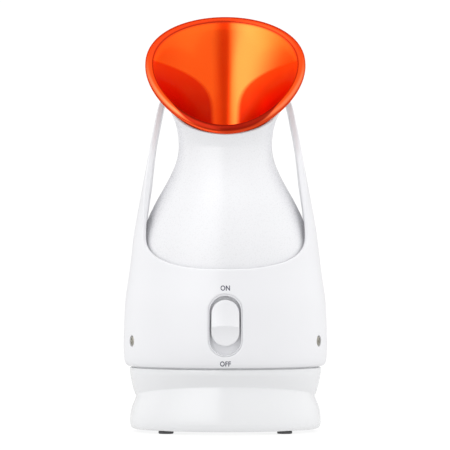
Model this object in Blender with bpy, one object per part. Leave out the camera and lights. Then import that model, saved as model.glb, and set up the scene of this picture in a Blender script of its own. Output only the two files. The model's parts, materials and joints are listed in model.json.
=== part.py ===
"""Facial steamer: a waisted base, a shell with a handle loop, a steam tower and an amber steam horn.

The frame has +Z up and the floor at z = 0, with the upright axis on Z. The switch is at the front, at -Y.
Every size is in millimetres, and add_solid, wire and attach_to_slide turn them into the scene's metres.
An azimuth is measured about Z from the front towards +X. A profile is a list of (radius, height) pairs.
"""

import math

import bmesh
import bpy
from mathutils import Matrix, Vector

MM = 0.001
SEGMENTS = 40  # sides of the large round parts
SMALL_SEGMENTS = 10  # sides of screws, posts and holes
SHARP_ANGLE = math.radians(35)
GAP = 0.3  # between pieces that touch in the real steamer

LOOKS = {  # colour, roughness, metallic
    "white_shell": ((0.86, 0.86, 0.875), 0.3, 0.0),
    "white_base": ((0.84, 0.85, 0.85), 0.25, 0.0),
    "amber": ((0.95, 0.22, 0.02), 0.1, 0.0),
    "rubber": ((0.12, 0.12, 0.12), 0.8, 0.0),
    "silicone": ((0.85, 0.85, 0.82), 0.6, 0.0),
    "steel": ((0.66, 0.64, 0.58), 0.35, 1.0),
    "aluminium": ((0.78, 0.78, 0.8), 0.4, 1.0),
    "brass": ((0.78, 0.6, 0.3), 0.35, 1.0),
    "frame_plastic": ((0.75, 0.75, 0.74), 0.5, 0.0),
    "black_plastic": ((0.04, 0.04, 0.04), 0.5, 0.0),
    "board": ((0.05, 0.25, 0.12), 0.5, 0.0),
    "ceramic": ((0.8, 0.72, 0.55), 0.3, 0.0),
    "red_wire": ((0.6, 0.05, 0.04), 0.5, 0.0),
    "pale_wire": ((0.8, 0.8, 0.78), 0.5, 0.0),
}

# Screws
HEAD_RADIUS = 2.9
HEAD_HEIGHT = 1.3
SHANK_RADIUS = 1.4
HOLE_RADIUS = SHANK_RADIUS + GAP
RECESS_REACH = 1.5
RECESS_HALF_WIDTH = 0.35
RECESS_DEPTH = 0.5

# Base
FOOT_RADIUS = 4.4
FOOT_PITCH_RADIUS = 48.9
FOOT_TOP = 1.6
STEM_RADIUS = 1.6
FOOT_AZIMUTHS = {"front_left": -45, "front_right": 45, "rear_left": -135, "rear_right": 135}
BASE_BOTTOM = 1.8
BASE_WALL = 2.2
LIP_RADIUS = 54.2
BULGE_RADIUS = 56.3
BULGE_Z = 7.0
CREASE_RADIUS = 52.7
CREASE_Z = 20.7  # at the sides
CREASE_RISE = 7.0  # the crease is this much higher at the front, and lower at the rear
BAND_RADIUS = 56.4
BAND_TOP = 37.5
COLLAR_RADIUS = 55.0
COLLAR_TOP = 58.0
PLATE_RADIUS = 52.3
PLATE_BOTTOM = 2.1
PLATE_TOP = 4.3
POST_RADIUS = 3.6
POST_PITCH_RADIUS = 46.5
POST_AZIMUTHS = {"front_right": 30, "rear_right": 150, "rear_left": 210, "front_left": 330}
RIB_HALF_WIDTH = 1.2
VENT_ROWS = (-8, 0, 8)

# Shell and handle loop
SHELL_WALL = 2.4
SHELL_PROFILE = [
    (57.0, 38.3), (58.6, 39.6), (59.6, 42.2), (60.0, 46.0), (60.1, 52.0), (60.0, 59.0),
    (59.7, 68.0), (59.1, 77.5), (57.7, 87.5), (56.4, 96.5), (55.3, 106.0), (54.1, 116.0),
    (52.4, 126.0), (50.6, 136.0), (48.4, 148.0), (46.0, 161.0), (43.2, 176.0), (40.4, 191.0),
]
WING_TOP = 116.0
FRONT_CUT = {"half_width": 48.3, "bottom": 96.2}
REAR_CUT = {"half_width": 47.7, "bottom": 98.0}
CUT_POWER = 2 / 2.5  # of the rounded-square curve that a cut's edge follows
FRONT_COLUMNS = 16
REAR_COLUMNS = 12
WING_COLUMNS = 6
SHELL_ROWS = 8
HANDLE_EDGES = [  # height, then Y of the loop's front edge and of its rear edge
    (116.0, -24.4, 25.5), (124.0, -21.8, 21.6), (134.0, -19.0, 19.4), (147.0, -15.0, 20.6),
    (162.0, -8.0, 25.2), (176.0, 4.0, 32.6), (190.0, 17.0, 41.8), (200.0, 26.0, 48.4),
    (210.0, 34.4, 54.8), (218.0, 41.2, 60.8),
]
HANDLE_SHOULDER = 190.0
HANDLE_CROWN = 218.0
HANDLE_LOW_ROWS = 7
HANDLE_ARCH_ROWS = 7
HANDLE_SLOPE = 0.21  # how fast the loop's sides draw in above the shoulder
FLAT_RISE = 60.0  # the height above the wings over which the loop's round section turns flat
SHELL_SCREW_Z = 53.8
SHELL_SCREW_AZIMUTHS = {"front_left": -66, "front_right": 66, "rear_left": -114, "rear_right": 114}
SHELL_SCREW_SEAT = 58.9  # radius
SINK_RADIUS = HEAD_RADIUS + 0.4
BOSS_RADIUS = 3.2
BOSS_INNER = 47.5

# Steam tower
TOWER_WALL = 2.2
TOWER_PROFILE = [
    (53.0, 61.0), (53.0, 95.0), (52.6, 100.0), (51.5, 106.5), (49.2, 114.5), (45.8, 123.5),
    (40.9, 134.3), (35.4, 144.4), (31.4, 152.5), (28.8, 159.5), (27.7, 165.0),
]
TOWER_INNER_PROFILE = [
    (25.5, 163.5), (25.5, 156.5), (28.8, 151.0), (36.0, 138.0), (43.0, 124.2),
    (48.2, 111.0), (50.4, 100.0), (50.8, 93.0), (50.8, 61.0),
]
MOUTH_SHARE = 0.64  # how far up the horn the tower's mouth reaches at the sides
MOUTH_TILT = 0.06  # it reaches this much further at the front, and less at the rear
MOUTH_STEPS = (1 / 3, 2 / 3, 1)
TOWER_SCREW_PITCH_RADIUS = 48.3
TOWER_SCREW_AZIMUTHS = {"left": -84, "right": 84}
TOWER_BOSS_RADIUS = 3.4
TOWER_BOSS_TOP = 75.0

# Steam horn: an upright round throat that flares to an egg-shaped rim in a plane sloping 45 degrees
THROAT_RADIUS = 22.6
THROAT_Z = 165.0
SKIRT_BOTTOM = 150.0
FLARE_POWER = 2.4
RIM_CENTRE = Vector((0.0, 5.0, 212.0))
RIM_HALF_DEPTH = 35.0
RIM_HALF_WIDTH = 46.8
RIM_EGG = 0.19
RIM_NORMAL = Vector((0.0, -1.0, 1.0)).normalized()
RIM_INNER_SHARE = 0.905
HORN_SHARES = (0.0, 0.25, 0.5, 0.75)
HORN_WALL = 2.0
FLANGE_DROP = 2.0  # height of the rim's outer face
HORN_GAP = 0.7
SEAL_PROFILE = [(24.75, 155.0), (25.35, 155.4), (25.35, 157.6), (24.75, 158.0)]
GUARD_RADIUS = 22.3
GUARD_Z = (159.4, 161.0)
GUARD_HOLES = 6
GUARD_HOLE_RADIUS = 4.6
GUARD_HOLE_PITCH_RADIUS = 13.5

# Switch, in a well in the front of the shell
WELL_OUTER = (19.6, 36.0)
WELL_INNER = (18.0, 34.2)
WELL_OUTER_Z = 63.6
WELL_INNER_Z = 63.4
WELL_EDGE_DEPTH = 0.2
WELL_LIP_DEPTH = 1.5
WELL_FLOOR_DEPTH = 5.0
WELL_BACK = -53.0
STEM_SLOT = (5.0, 13.0)
POCKET_HALF_WIDTH = 10.5
POCKET_Z = (45.0, 84.5)
POCKET_BACK = -44.0
BUTTON_SIZE = (16.2, 27.0)
BUTTON_Z = 65.0
BUTTON_BACK = -55.4
BUTTON_RIDGE = 1.5  # how far the ridge stands out of the shell
BUTTON_FALL = 2.2  # from the ridge back to the ends
BUTTON_EDGE_SHARE = 0.93
BUTTON_EDGE_DEPTH = 0.9
SWITCH_FRONT = -48.9
SWITCH_SCREWS = {"bottom": 49.2, "top": 78.9}

# Boiler
CARRIER_BOTTOM = 58.3
CARRIER_TOP = 60.7
CARRIER_PROFILE = [
    (14.0, CARRIER_BOTTOM), (54.6, CARRIER_BOTTOM), (54.6, CARRIER_TOP), (34.5, CARRIER_TOP),
    (34.5, 107.5), (32.5, 107.5), (32.5, CARRIER_TOP), (14.0, CARRIER_TOP),
]
TANK_PROFILE = [
    (9.0, 71.2), (25.3, 71.2), (27.3, 73.2), (27.3, 109.0), (35.2, 109.0),
    (35.2, 107.8), (28.5, 107.8), (28.5, 70.0), (9.0, 70.0),
]
GASKET_PROFILE = [(28.6, 109.3), (34.6, 109.3), (34.6, 111.3), (28.6, 111.3)]
CHIMNEY_PROFILE = [
    (28.6, 111.6), (36.0, 111.6), (36.0, 113.6), (31.0, 113.6), (24.0, 128.0), (21.9, 134.0),
    (21.9, 157.0), (20.1, 157.0), (20.1, 133.5), (22.2, 127.2), (28.6, 113.4),
]
HEATER_PROFILE = [(26.0, 65.8), (26.0, 69.7)]
CLAMP_PROFILE = [(10.0, 64.2), (25.0, 64.2), (25.0, 65.5), (10.0, 65.5)]
HEATER_SCREWS = {"left": -20.0, "right": 20.0}
THERMOSTAT_PROFILE = [(6.5, 55.5), (8.0, 56.5), (8.0, 62.5), (7.0, 63.0), (7.0, 65.5)]
FUSE_Y = 20.0
FUSE_Z = 62.5
NEEDLE_Z = 142.0

# Electrical parts
BOARD_BOTTOM = 11.0
BOARD_TOP = 12.6
BOARD_POSTS = {
    "front_left": (-25, -14), "rear_left": (-25, 14), "front_right": (25, -14), "rear_right": (25, 14),
}
BOARD_SCREWS = {"left": "rear_left", "right": "front_right"}
INLET_Z = 27.0
INLET_SIZE = (20.0, 11.5)
INLET_RECESS = (15.6, 8.2)
INLET_Y = (39.0, 55.9)
PIN_X = 4.3
WIRE_RADIUS = 1.0
LIVE_PATH = [
    (-PIN_X, 38.6, INLET_Z), (-PIN_X, 30, 30), (-PIN_X, 0, 37), (-PIN_X, -32, 44),
    (-PIN_X, -38, 50), (-PIN_X, -38.4, 60), (-PIN_X, -39.6, 64),
]
HEATER_PATH = [
    (PIN_X, -39.6, 64), (PIN_X, -38.4, 60), (PIN_X, -38, 50), (4, -22, 45),
    (3.5, -8, 45), (3.5, -2, 47.6), (3.5, 0, 49.9),
]
NEUTRAL_PATH = [
    (PIN_X, 38.6, INLET_Z), (PIN_X, 35, 27.4), (PIN_X, 29, 34), (7, 16, 47),
    (8.4, 8.4, 54), (8.4, 8.4, 61.2), (8.2, 11, 62.6), (7.5, FUSE_Y - 0.2, FUSE_Z),
]
ION_PATH = [
    (0, 42.4, 92.4), (0, 43, 104), (0, 39.8, 118), (0, 33, 132), (0, 29.5, 140), (0, 27.3, NEEDLE_Z),
]


# ---------------------------------------------------------------- scene and materials


def clear_scene():
    for obj in list(bpy.data.objects):
        bpy.data.objects.remove(obj)


def material(look):
    """The material of that name in LOOKS, made when it is first asked for."""
    if look in bpy.data.materials:
        return bpy.data.materials[look]
    colour, roughness, metallic = LOOKS[look]
    made = bpy.data.materials.new(look)
    made.use_nodes = True
    shader = made.node_tree.nodes["Principled BSDF"]
    shader.inputs["Base Color"].default_value = (*colour, 1.0)
    shader.inputs["Roughness"].default_value = roughness
    shader.inputs["Metallic"].default_value = metallic
    return made


def add_object(name, data, look=None):
    obj = bpy.data.objects.new(name, data)
    bpy.context.scene.collection.objects.link(obj)
    if look is not None:
        data.materials.append(material(look))
    return obj


def add_solid(name, points, faces, look=None):
    """An object from points. Its faces point outwards, and it is smooth except over sharp edges."""
    mesh = bpy.data.meshes.new(name)
    mesh.from_pydata([Vector(point) * MM for point in points], [], faces)
    shape = bmesh.new()
    shape.from_mesh(mesh)
    bmesh.ops.recalc_face_normals(shape, faces=shape.faces)
    shape.to_mesh(mesh)
    shape.free()
    mesh.shade_smooth()
    mesh.set_sharp_from_angle(angle=SHARP_ANGLE)
    return add_object(name, mesh, look)


def boolean(obj, other, operation):
    other.hide_render = True
    other.display_type = "WIRE"
    modifier = obj.modifiers.new(other.name, "BOOLEAN")
    modifier.operation = operation
    modifier.object = other
    modifier.solver = "EXACT"


def cut(obj, cutter):
    boolean(obj, cutter, "DIFFERENCE")


def join(obj, other):
    boolean(obj, other, "UNION")


def attach_to_slide(name, place, pieces):
    """An empty on a slide's axis, which carries the pieces that move together."""
    slide = add_object(name, None)
    slide.location = Vector(place) * MM
    for piece in pieces:
        piece.parent = slide
        piece.matrix_parent_inverse = Matrix.Translation(-slide.location)


# ---------------------------------------------------------------- shapes


def polar(radius, azimuth, z):
    return Vector((radius * math.sin(azimuth), -radius * math.cos(azimuth), z))


def round_azimuths(segments=SEGMENTS):
    return [math.tau * i / segments for i in range(segments)]


def ring_at(function, segments=SEGMENTS):
    return [function(azimuth) for azimuth in round_azimuths(segments)]


def round_ring(radius, z, segments=SEGMENTS):
    return ring_at(lambda azimuth: polar(radius, azimuth, z), segments)


def band_faces(lower, upper, count):
    """Faces between two rings of count points, given the index of each ring's first point."""
    faces = []
    for j in range(count):
        after = (j + 1) % count
        faces.append((lower + j, lower + after, upper + after, upper + j))
    return faces


def ring_solid(name, rings, look=None):
    """A closed body from rings of points: each ring joins the next, and the last joins the first."""
    count = len(rings[0])
    starts = [i * count for i in range(len(rings))]
    faces = []
    for lower, upper in zip(starts, starts[1:] + starts[:1]):
        faces += band_faces(lower, upper, count)
    return add_solid(name, sum(rings, []), faces, look)


def stacked_solid(name, rings, look=None):
    """A closed body from rings of points, with a flat end over the first ring and the last."""
    count = len(rings[0])
    starts = [i * count for i in range(len(rings))]
    faces = [tuple(range(count)), tuple(range(starts[-1], starts[-1] + count))]
    for lower, upper in zip(starts, starts[1:]):
        faces += band_faces(lower, upper, count)
    return add_solid(name, sum(rings, []), faces, look)


def turned_ring(name, profile, look, segments=SEGMENTS):
    """A ring turned about Z from a closed profile."""
    return ring_solid(name, [round_ring(r, z, segments) for r, z in profile], look)


def turned_disc(name, profile, look, segments=SEGMENTS):
    """A body turned about Z from an open profile, whose two ends are closed by flat discs."""
    return stacked_solid(name, [round_ring(r, z, segments) for r, z in profile], look)


def rod(name, start, end, radius, look=None, segments=SMALL_SEGMENTS, end_radius=None):
    """A round rod between two points, or a cone if it has an end radius."""
    start, end = Vector(start), Vector(end)
    turn = (end - start).to_track_quat("Z", "Y")
    rings = []
    for centre, r in ((start, radius), (end, end_radius or radius)):
        rings.append([centre + turn @ point for point in round_ring(r, 0, segments)])
    return stacked_solid(name, rings, look)


def hole(obj, name, start, end, radius=HOLE_RADIUS, segments=SMALL_SEGMENTS):
    cut(obj, rod(name, start, end, radius, segments=segments))


def box(name, low, high, look=None, bevel=0.0):
    """An upright box between two corners, with its edges bevelled if asked."""
    outline = [(low[0], low[1]), (high[0], low[1]), (high[0], high[1]), (low[0], high[1])]
    obj = stacked_solid(name, [[Vector((x, y, z)) for x, y in outline] for z in (low[2], high[2])], look)
    if bevel:
        modifier = obj.modifiers.new("bevel", "BEVEL")
        modifier.width = bevel * MM
        modifier.segments = 1
        modifier.limit_method = "NONE"
    return obj


def slot_outline(size, centre_z, segments=20, y=0.0):
    """Points round an upright slot of that width and height, starting at the middle of its right side."""
    radius = size[0] / 2
    straight = size[1] / 2 - radius
    points = []
    for side in (1, -1):
        points.append(Vector((side * radius, y, centre_z)))
        for i in range(segments // 2):
            angle = math.tau * (i + 0.5) / segments
            up = straight + radius * math.sin(angle)
            points.append(Vector((side * radius * math.cos(angle), y, centre_z + side * up)))
    return points


def upright_slot(name, size, centre_z, ends, look=None):
    """A bar along Y between two ends, with an upright slot for its section."""
    return stacked_solid(name, [slot_outline(size, centre_z, y=y) for y in ends], look)


def level_slot(name, size, centre_z, ends, look=None):
    """A bar along Y between two ends, whose slot-shaped section lies on its side."""
    rings = []
    for y in ends:
        outline = slot_outline((size[1], size[0]), 0.0, y=y)
        rings.append([Vector((point.z, y, centre_z + point.x)) for point in outline])
    return stacked_solid(name, rings, look)


def cross_recess(name, top, direction):
    """A cross-shaped bar that sinks into a screw's head along direction, from the middle of its top."""
    side = direction.orthogonal().normalized()
    across = direction.cross(side)
    half = RECESS_HALF_WIDTH
    arm = [Vector(corner) for corner in ((RECESS_REACH, -half), (RECESS_REACH, half), (half, half))]
    outline = []
    for quarter in range(4):
        turn = Matrix.Rotation(math.pi / 2 * quarter, 2)
        outline += [turn @ corner for corner in arm]
    rings = []
    for depth in (-RECESS_DEPTH, RECESS_DEPTH):
        rings.append([top + direction * depth + side * p.x + across * p.y for p in outline])
    return stacked_solid(name, rings)


def screw(name, seat, direction, length):
    """A cross-head screw: its head stands on seat, and its shank runs along direction."""
    seat, direction = Vector(seat), Vector(direction).normalized()
    top = seat - direction * HEAD_HEIGHT
    head = rod(name, top, seat, HEAD_RADIUS * 0.8, "steel", end_radius=HEAD_RADIUS)
    shank_start = seat - direction * HEAD_HEIGHT / 4
    join(head, rod(name + "_shank", shank_start, seat + direction * length, SHANK_RADIUS, segments=6))
    cut(head, cross_recess(name + "_recess", top, direction))


def wire(name, path, radius, look):
    curve = bpy.data.curves.new(name, "CURVE")
    curve.dimensions = "3D"
    curve.bevel_depth = radius * MM
    curve.bevel_resolution = 1
    curve.use_fill_caps = True
    spline = curve.splines.new("POLY")
    spline.points.add(len(path) - 1)
    for point, place in zip(spline.points, path):
        point.co = (*(Vector(place) * MM), 1.0)
    add_object(name, curve, look)


def interpolate(pairs, position):
    """The value at a position, by straight lines between (value, position) pairs whose positions rise."""
    for (value0, at0), (value1, at1) in zip(pairs, pairs[1:]):
        if position <= at1:
            break
    return value0 + (value1 - value0) * (position - at0) / (at1 - at0)


def smoothstep(t):
    t = min(max(t, 0.0), 1.0)
    return t * t * (3 - 2 * t)


# ---------------------------------------------------------------- base


def base_column(azimuth):
    """The base's wall at an azimuth: its outside from the bottom to the collar, then its inside back down."""
    crease = CREASE_Z + CREASE_RISE * math.cos(azimuth)
    outside = [
        (LIP_RADIUS, BASE_BOTTOM),
        (BULGE_RADIUS - 0.5, BASE_BOTTOM + 1.4),
        (BULGE_RADIUS, BULGE_Z),
        (BULGE_RADIUS - 1.0, (BULGE_Z + crease) / 2),
        (CREASE_RADIUS, crease),
        (BAND_RADIUS - 0.8, crease + 0.55 * (BAND_TOP - crease)),
        (BAND_RADIUS, BAND_TOP),
        (COLLAR_RADIUS, BAND_TOP),
        (COLLAR_RADIUS, COLLAR_TOP),
    ]
    inside = [
        (COLLAR_RADIUS - BASE_WALL, COLLAR_TOP),
        (COLLAR_RADIUS - BASE_WALL, BAND_TOP - 2.0),
        (CREASE_RADIUS - BASE_WALL, crease),
        (PLATE_RADIUS + GAP, BULGE_Z - 1.0),
        (PLATE_RADIUS + GAP, BASE_BOTTOM),
    ]
    return [polar(radius, azimuth, z) for radius, z in outside + inside]


def post_place(degrees, z):
    return polar(POST_PITCH_RADIUS, math.radians(degrees), z)


def add_posts(housing):
    """Four columns inside the base, each tied to the wall by a rib. A screw enters each end."""
    for name, degrees in POST_AZIMUTHS.items():
        foot, top = post_place(degrees, PLATE_TOP + GAP), post_place(degrees, COLLAR_TOP)
        join(housing, rod("post_" + name, foot, top, POST_RADIUS))
        reach = CREASE_RADIUS - 0.7 - POST_PITCH_RADIUS
        rib_low = (-RIB_HALF_WIDTH, -reach, PLATE_TOP + 0.7)
        rib = box("rib_" + name, rib_low, (RIB_HALF_WIDTH, 0, COLLAR_TOP - 1))
        rib.location = post_place(degrees, 0) * MM
        rib.rotation_euler.z = math.radians(degrees)
        join(housing, rib)
        hole(housing, "post_low_hole_" + name, post_place(degrees, 3), post_place(degrees, 16))
        hole(housing, "post_high_hole_" + name, post_place(degrees, 48), post_place(degrees, 60))


def shell_screw_place(degrees, radius):
    return polar(radius, math.radians(degrees), SHELL_SCREW_Z)


def add_bosses(housing):
    """Level bosses inside the collar, which take the shell's screws."""
    for name, degrees in SHELL_SCREW_AZIMUTHS.items():
        boss_ends = [shell_screw_place(degrees, radius) for radius in (BOSS_INNER, COLLAR_RADIUS - 1)]
        join(housing, rod("boss_" + name, *boss_ends, BOSS_RADIUS))
        hole_ends = [shell_screw_place(degrees, radius) for radius in (BOSS_INNER - 1.5, COLLAR_RADIUS + 2)]
        hole(housing, "boss_hole_" + name, *hole_ends)


def pocket(name, top=POCKET_Z[1], back=POCKET_BACK):
    """The clear space behind the shell's front that the switch needs."""
    return box(name, (-POCKET_HALF_WIDTH, -66, POCKET_Z[0]), (POCKET_HALF_WIDTH, back, top))


def make_housing():
    columns = ring_at(base_column)
    housing = ring_solid("base_housing", [list(ring) for ring in zip(*columns)], "white_base")
    add_posts(housing)
    add_bosses(housing)
    cut(housing, pocket("collar_pocket"))
    opening = tuple(size + 2 * GAP for size in INLET_SIZE)
    cut(housing, level_slot("inlet_hole", opening, INLET_Z, (46, 62)))


def make_foot(name, degrees, plate):
    """A rubber foot under the base plate, held by a stem pressed into a hole."""

    def place(z):
        return polar(FOOT_PITCH_RADIUS, math.radians(degrees), z)

    foot = rod("foot_" + name, place(0), place(FOOT_TOP), FOOT_RADIUS, "rubber", segments=16)
    join(foot, rod("foot_stem_" + name, place(FOOT_TOP - 0.5), place(PLATE_TOP - GAP), STEM_RADIUS))
    hole(plate, "foot_hole_" + name, place(1), place(6), STEM_RADIUS + GAP)


def make_plate():
    profile = [(PLATE_RADIUS, PLATE_BOTTOM), (PLATE_RADIUS, PLATE_TOP)]
    plate = turned_disc("base_plate", profile, "white_base")
    sink_top = PLATE_BOTTOM + 0.9
    for name, degrees in POST_AZIMUTHS.items():
        below, seat = post_place(degrees, 0), post_place(degrees, sink_top)
        hole(plate, "plate_hole_" + name, below, post_place(degrees, 6))
        hole(plate, "plate_sink_" + name, below, seat, SINK_RADIUS)
        screw("base_screw_" + name, seat - Vector((0, 0, 0.1)), (0, 0, 1), 10)
    for name, degrees in FOOT_AZIMUTHS.items():
        make_foot(name, degrees, plate)
    for name, (x, y) in BOARD_POSTS.items():
        join(plate, rod("standoff_" + name, (x, y, PLATE_TOP - 0.5), (x, y, BOARD_BOTTOM - GAP), 3))
        hole(plate, "standoff_hole_" + name, (x, y, PLATE_TOP + 0.5), (x, y, BOARD_BOTTOM + 1))
    for i, y in enumerate(VENT_ROWS):
        cut(plate, box(f"vent_{i}", (-14, y - 1.2, 1), (14, y + 1.2, 6)))


# ---------------------------------------------------------------- shell and handle loop


def shell_radius(z):
    return interpolate(SHELL_PROFILE, z)


def cut_edge(opening, share):
    """A point (x, z) of an opening's lower edge. Share runs from 0 at the left wing to 1 at the right."""
    angle = math.pi * share
    across = math.copysign(abs(math.cos(angle)) ** CUT_POWER, -math.cos(angle))
    drop = math.sin(angle) ** CUT_POWER
    return opening["half_width"] * across, WING_TOP - (WING_TOP - opening["bottom"]) * drop


def corner_azimuth(opening):
    return math.asin(opening["half_width"] / shell_radius(WING_TOP))


def shell_top_edge():
    """(azimuth, height) pairs round the shell's upper edge, from the front opening's left corner."""
    front, rear = corner_azimuth(FRONT_CUT), math.pi - corner_azimuth(REAR_CUT)
    wing_steps = [i / WING_COLUMNS for i in range(WING_COLUMNS)]
    edge = []
    for i in range(FRONT_COLUMNS):
        x, z = cut_edge(FRONT_CUT, i / FRONT_COLUMNS)
        edge.append((math.asin(x / shell_radius(z)), z))
    edge += [(front + (rear - front) * step, WING_TOP) for step in wing_steps]
    for i in range(REAR_COLUMNS):
        x, z = cut_edge(REAR_CUT, i / REAR_COLUMNS)
        edge.append((math.pi + math.asin(x / shell_radius(z)), z))
    edge += [(math.tau - rear + (rear - front) * step, WING_TOP) for step in wing_steps]
    return edge


def handle_spine():
    """(x, z) of the right side of the loop, from just above the wing to the crown."""
    spine = []
    for i in range(1, HANDLE_LOW_ROWS + 1):
        z = WING_TOP + (HANDLE_SHOULDER - WING_TOP) * i / HANDLE_LOW_ROWS
        spine.append((shell_radius(z), z))
    for i in range(1, HANDLE_ARCH_ROWS + 1):
        angle = math.pi / 2 * i / HANDLE_ARCH_ROWS
        rise = (HANDLE_CROWN - HANDLE_SHOULDER) * math.sin(angle) ** 0.9
        reach = shell_radius(HANDLE_SHOULDER) - HANDLE_SLOPE * rise
        spine.append((reach * abs(math.cos(angle)) ** 0.8, HANDLE_SHOULDER + rise))
    return spine


def handle_row(x, z, side):
    """A level row of points across the loop. It is round near the wing, like the shell, and flat higher up."""
    front = interpolate([(front, height) for height, front, _ in HANDLE_EDGES], z)
    rear = interpolate([(rear, height) for height, _, rear in HANDLE_EDGES], z)
    flat = smoothstep((z - WING_TOP) / FLAT_RISE)
    arc_centre = (front + rear) / 2 * flat
    row = []
    for i in range(WING_COLUMNS + 1):
        y = front + (rear - front) * i / WING_COLUMNS
        roundness = math.sqrt(1 - ((y - arc_centre) / shell_radius(z)) ** 2)
        row.append(Vector((side * x * (roundness + (1 - roundness) * flat), y, z)))
    return row


def body_rows():
    """The shell's rings of points, evenly spread at its bottom and meeting the openings' corners at its top."""
    edge = shell_top_edge()
    bottom = SHELL_PROFILE[0][1]
    rows = []
    for row in range(SHELL_ROWS + 1):
        share = row / SHELL_ROWS
        ring = []
        for i, (azimuth, top) in enumerate(edge):
            even = math.tau * (i - FRONT_COLUMNS / 2) / len(edge)
            z = bottom + (top - bottom) * share**1.5
            ring.append(polar(shell_radius(z), even + (azimuth - even) * smoothstep(share), z))
        rows.append(ring)
    return rows


def shell_surface():
    """Points and faces of the shell's outer skin: a ring up to its openings, then a strap from wing to wing."""
    rings = body_rows()
    count = len(rings[0])
    points = sum(rings, [])
    faces = []
    for row in range(SHELL_ROWS):
        faces += band_faces(row * count, (row + 1) * count, count)

    right_wing = SHELL_ROWS * count + FRONT_COLUMNS
    left_wing = right_wing + WING_COLUMNS + REAR_COLUMNS
    past_left_wing = SHELL_ROWS * count
    left = [*range(left_wing, left_wing + WING_COLUMNS), past_left_wing]
    rows = [list(range(right_wing, right_wing + WING_COLUMNS + 1))]
    spine = handle_spine()
    for x, z, side in [(x, z, 1) for x, z in spine] + [(x, z, -1) for x, z in reversed(spine[:-1])]:
        rows.append([len(points) + i for i in range(WING_COLUMNS + 1)])
        points += handle_row(x, z, side)
    rows.append(left[::-1])
    for lower, upper in zip(rows, rows[1:]):
        faces += [(lower[i], lower[i + 1], upper[i + 1], upper[i]) for i in range(WING_COLUMNS)]
    return points, faces


def make_shell():
    shell = add_solid("main_shell", *shell_surface(), "white_shell")
    wall = shell.modifiers.new("wall", "SOLIDIFY")
    wall.thickness = SHELL_WALL * MM
    wall.offset = -1
    wall.use_even_offset = True
    opening = tuple(size + GAP for size in WELL_OUTER)
    cut(shell, upright_slot("switch_opening", opening, WELL_OUTER_Z, (-66, -50)))
    for name, degrees in SHELL_SCREW_AZIMUTHS.items():
        outside = shell_screw_place(degrees, 64)
        hole(shell, "shell_hole_" + name, shell_screw_place(degrees, 55), outside)
        sink_floor = shell_screw_place(degrees, SHELL_SCREW_SEAT - 0.1)
        hole(shell, "shell_sink_" + name, sink_floor, outside, SINK_RADIUS, segments=16)
        inward = -polar(1, math.radians(degrees), 0)
        screw("shell_screw_" + name, shell_screw_place(degrees, SHELL_SCREW_SEAT), inward, 9)


# ---------------------------------------------------------------- steam horn and tower


def rim_point(azimuth, share):
    """A point of the rim's plane. Share is 1 on the rim's outer edge and 0 at its centre."""
    back = -math.cos(azimuth)
    x = RIM_HALF_WIDTH * math.sin(azimuth) * (1 + RIM_EGG * back)
    return RIM_CENTRE + Vector((x, RIM_HALF_DEPTH * back, RIM_HALF_DEPTH * back)) * share


def horn_inner_point(share, azimuth):
    """A point of the horn's inner face. Share runs from 0 at the throat to 1 at the rim."""
    throat, rim = polar(THROAT_RADIUS, azimuth, THROAT_Z), rim_point(azimuth, RIM_INNER_SHARE)
    point = throat.lerp(rim, share**FLARE_POWER)
    point.z = throat.z + (rim.z - throat.z) * share
    return point


def horn_point(share, azimuth, outward):
    """A point at a distance outside the horn's inner face."""
    step = 1e-4
    along = horn_inner_point(share + step, azimuth) - horn_inner_point(max(share - step, 0.0), azimuth)
    around = horn_inner_point(share, azimuth + step) - horn_inner_point(share, azimuth - step)
    return horn_inner_point(share, azimuth) + around.cross(along).normalized() * outward


def horn_ring(share, outward):
    return ring_at(lambda azimuth: horn_point(share, azimuth, outward))


def rim_ring(share, lift, drop=0.0):
    """A ring round the rim, lifted off its plane towards the open side and then lowered."""
    offset = RIM_NORMAL * lift - Vector((0, 0, drop))
    return ring_at(lambda azimuth: rim_point(azimuth, share) + offset)


def make_nozzle():
    rings = [round_ring(THROAT_RADIUS, SKIRT_BOTTOM)]
    rings += [horn_ring(share, 0.0) for share in (*HORN_SHARES, 0.9)]
    rings += [rim_ring(RIM_INNER_SHARE, 0.0), rim_ring(0.95, 0.6), rim_ring(1.0, -0.6)]
    rings += [rim_ring(1.0, -0.6, FLANGE_DROP), rim_ring(0.97, -0.9, FLANGE_DROP)]
    rings += [horn_ring(share, HORN_WALL) for share in reversed(HORN_SHARES)]
    rings.append(round_ring(THROAT_RADIUS + HORN_WALL, SKIRT_BOTTOM))
    cup = ring_solid("nozzle_cup", rings, "amber")
    seal = turned_ring("nozzle_seal", SEAL_PROFILE, "silicone")
    guard = turned_disc("splash_guard", [(GUARD_RADIUS, z) for z in GUARD_Z], "amber")
    for i in range(GUARD_HOLES):
        azimuth = math.tau * (i + 0.5) / GUARD_HOLES
        ends = [polar(GUARD_HOLE_PITCH_RADIUS, azimuth, z) for z in (GUARD_Z[0] - 1, GUARD_Z[1] + 1)]
        hole(guard, f"steam_hole_{i}", *ends, GUARD_HOLE_RADIUS)
    attach_to_slide("nozzle_slide", (0, 0, THROAT_Z), [cup, seal, guard])


def mouth_ring(step, outward):
    """A ring of the tower's flared mouth, which follows the horn. Step is 1 at the mouth's edge."""
    return ring_at(lambda a: horn_point(step * (MOUTH_SHARE + MOUTH_TILT * math.cos(a)), a, outward))


def tower_screw_place(degrees, z):
    return polar(TOWER_SCREW_PITCH_RADIUS, math.radians(degrees), z)


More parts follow.
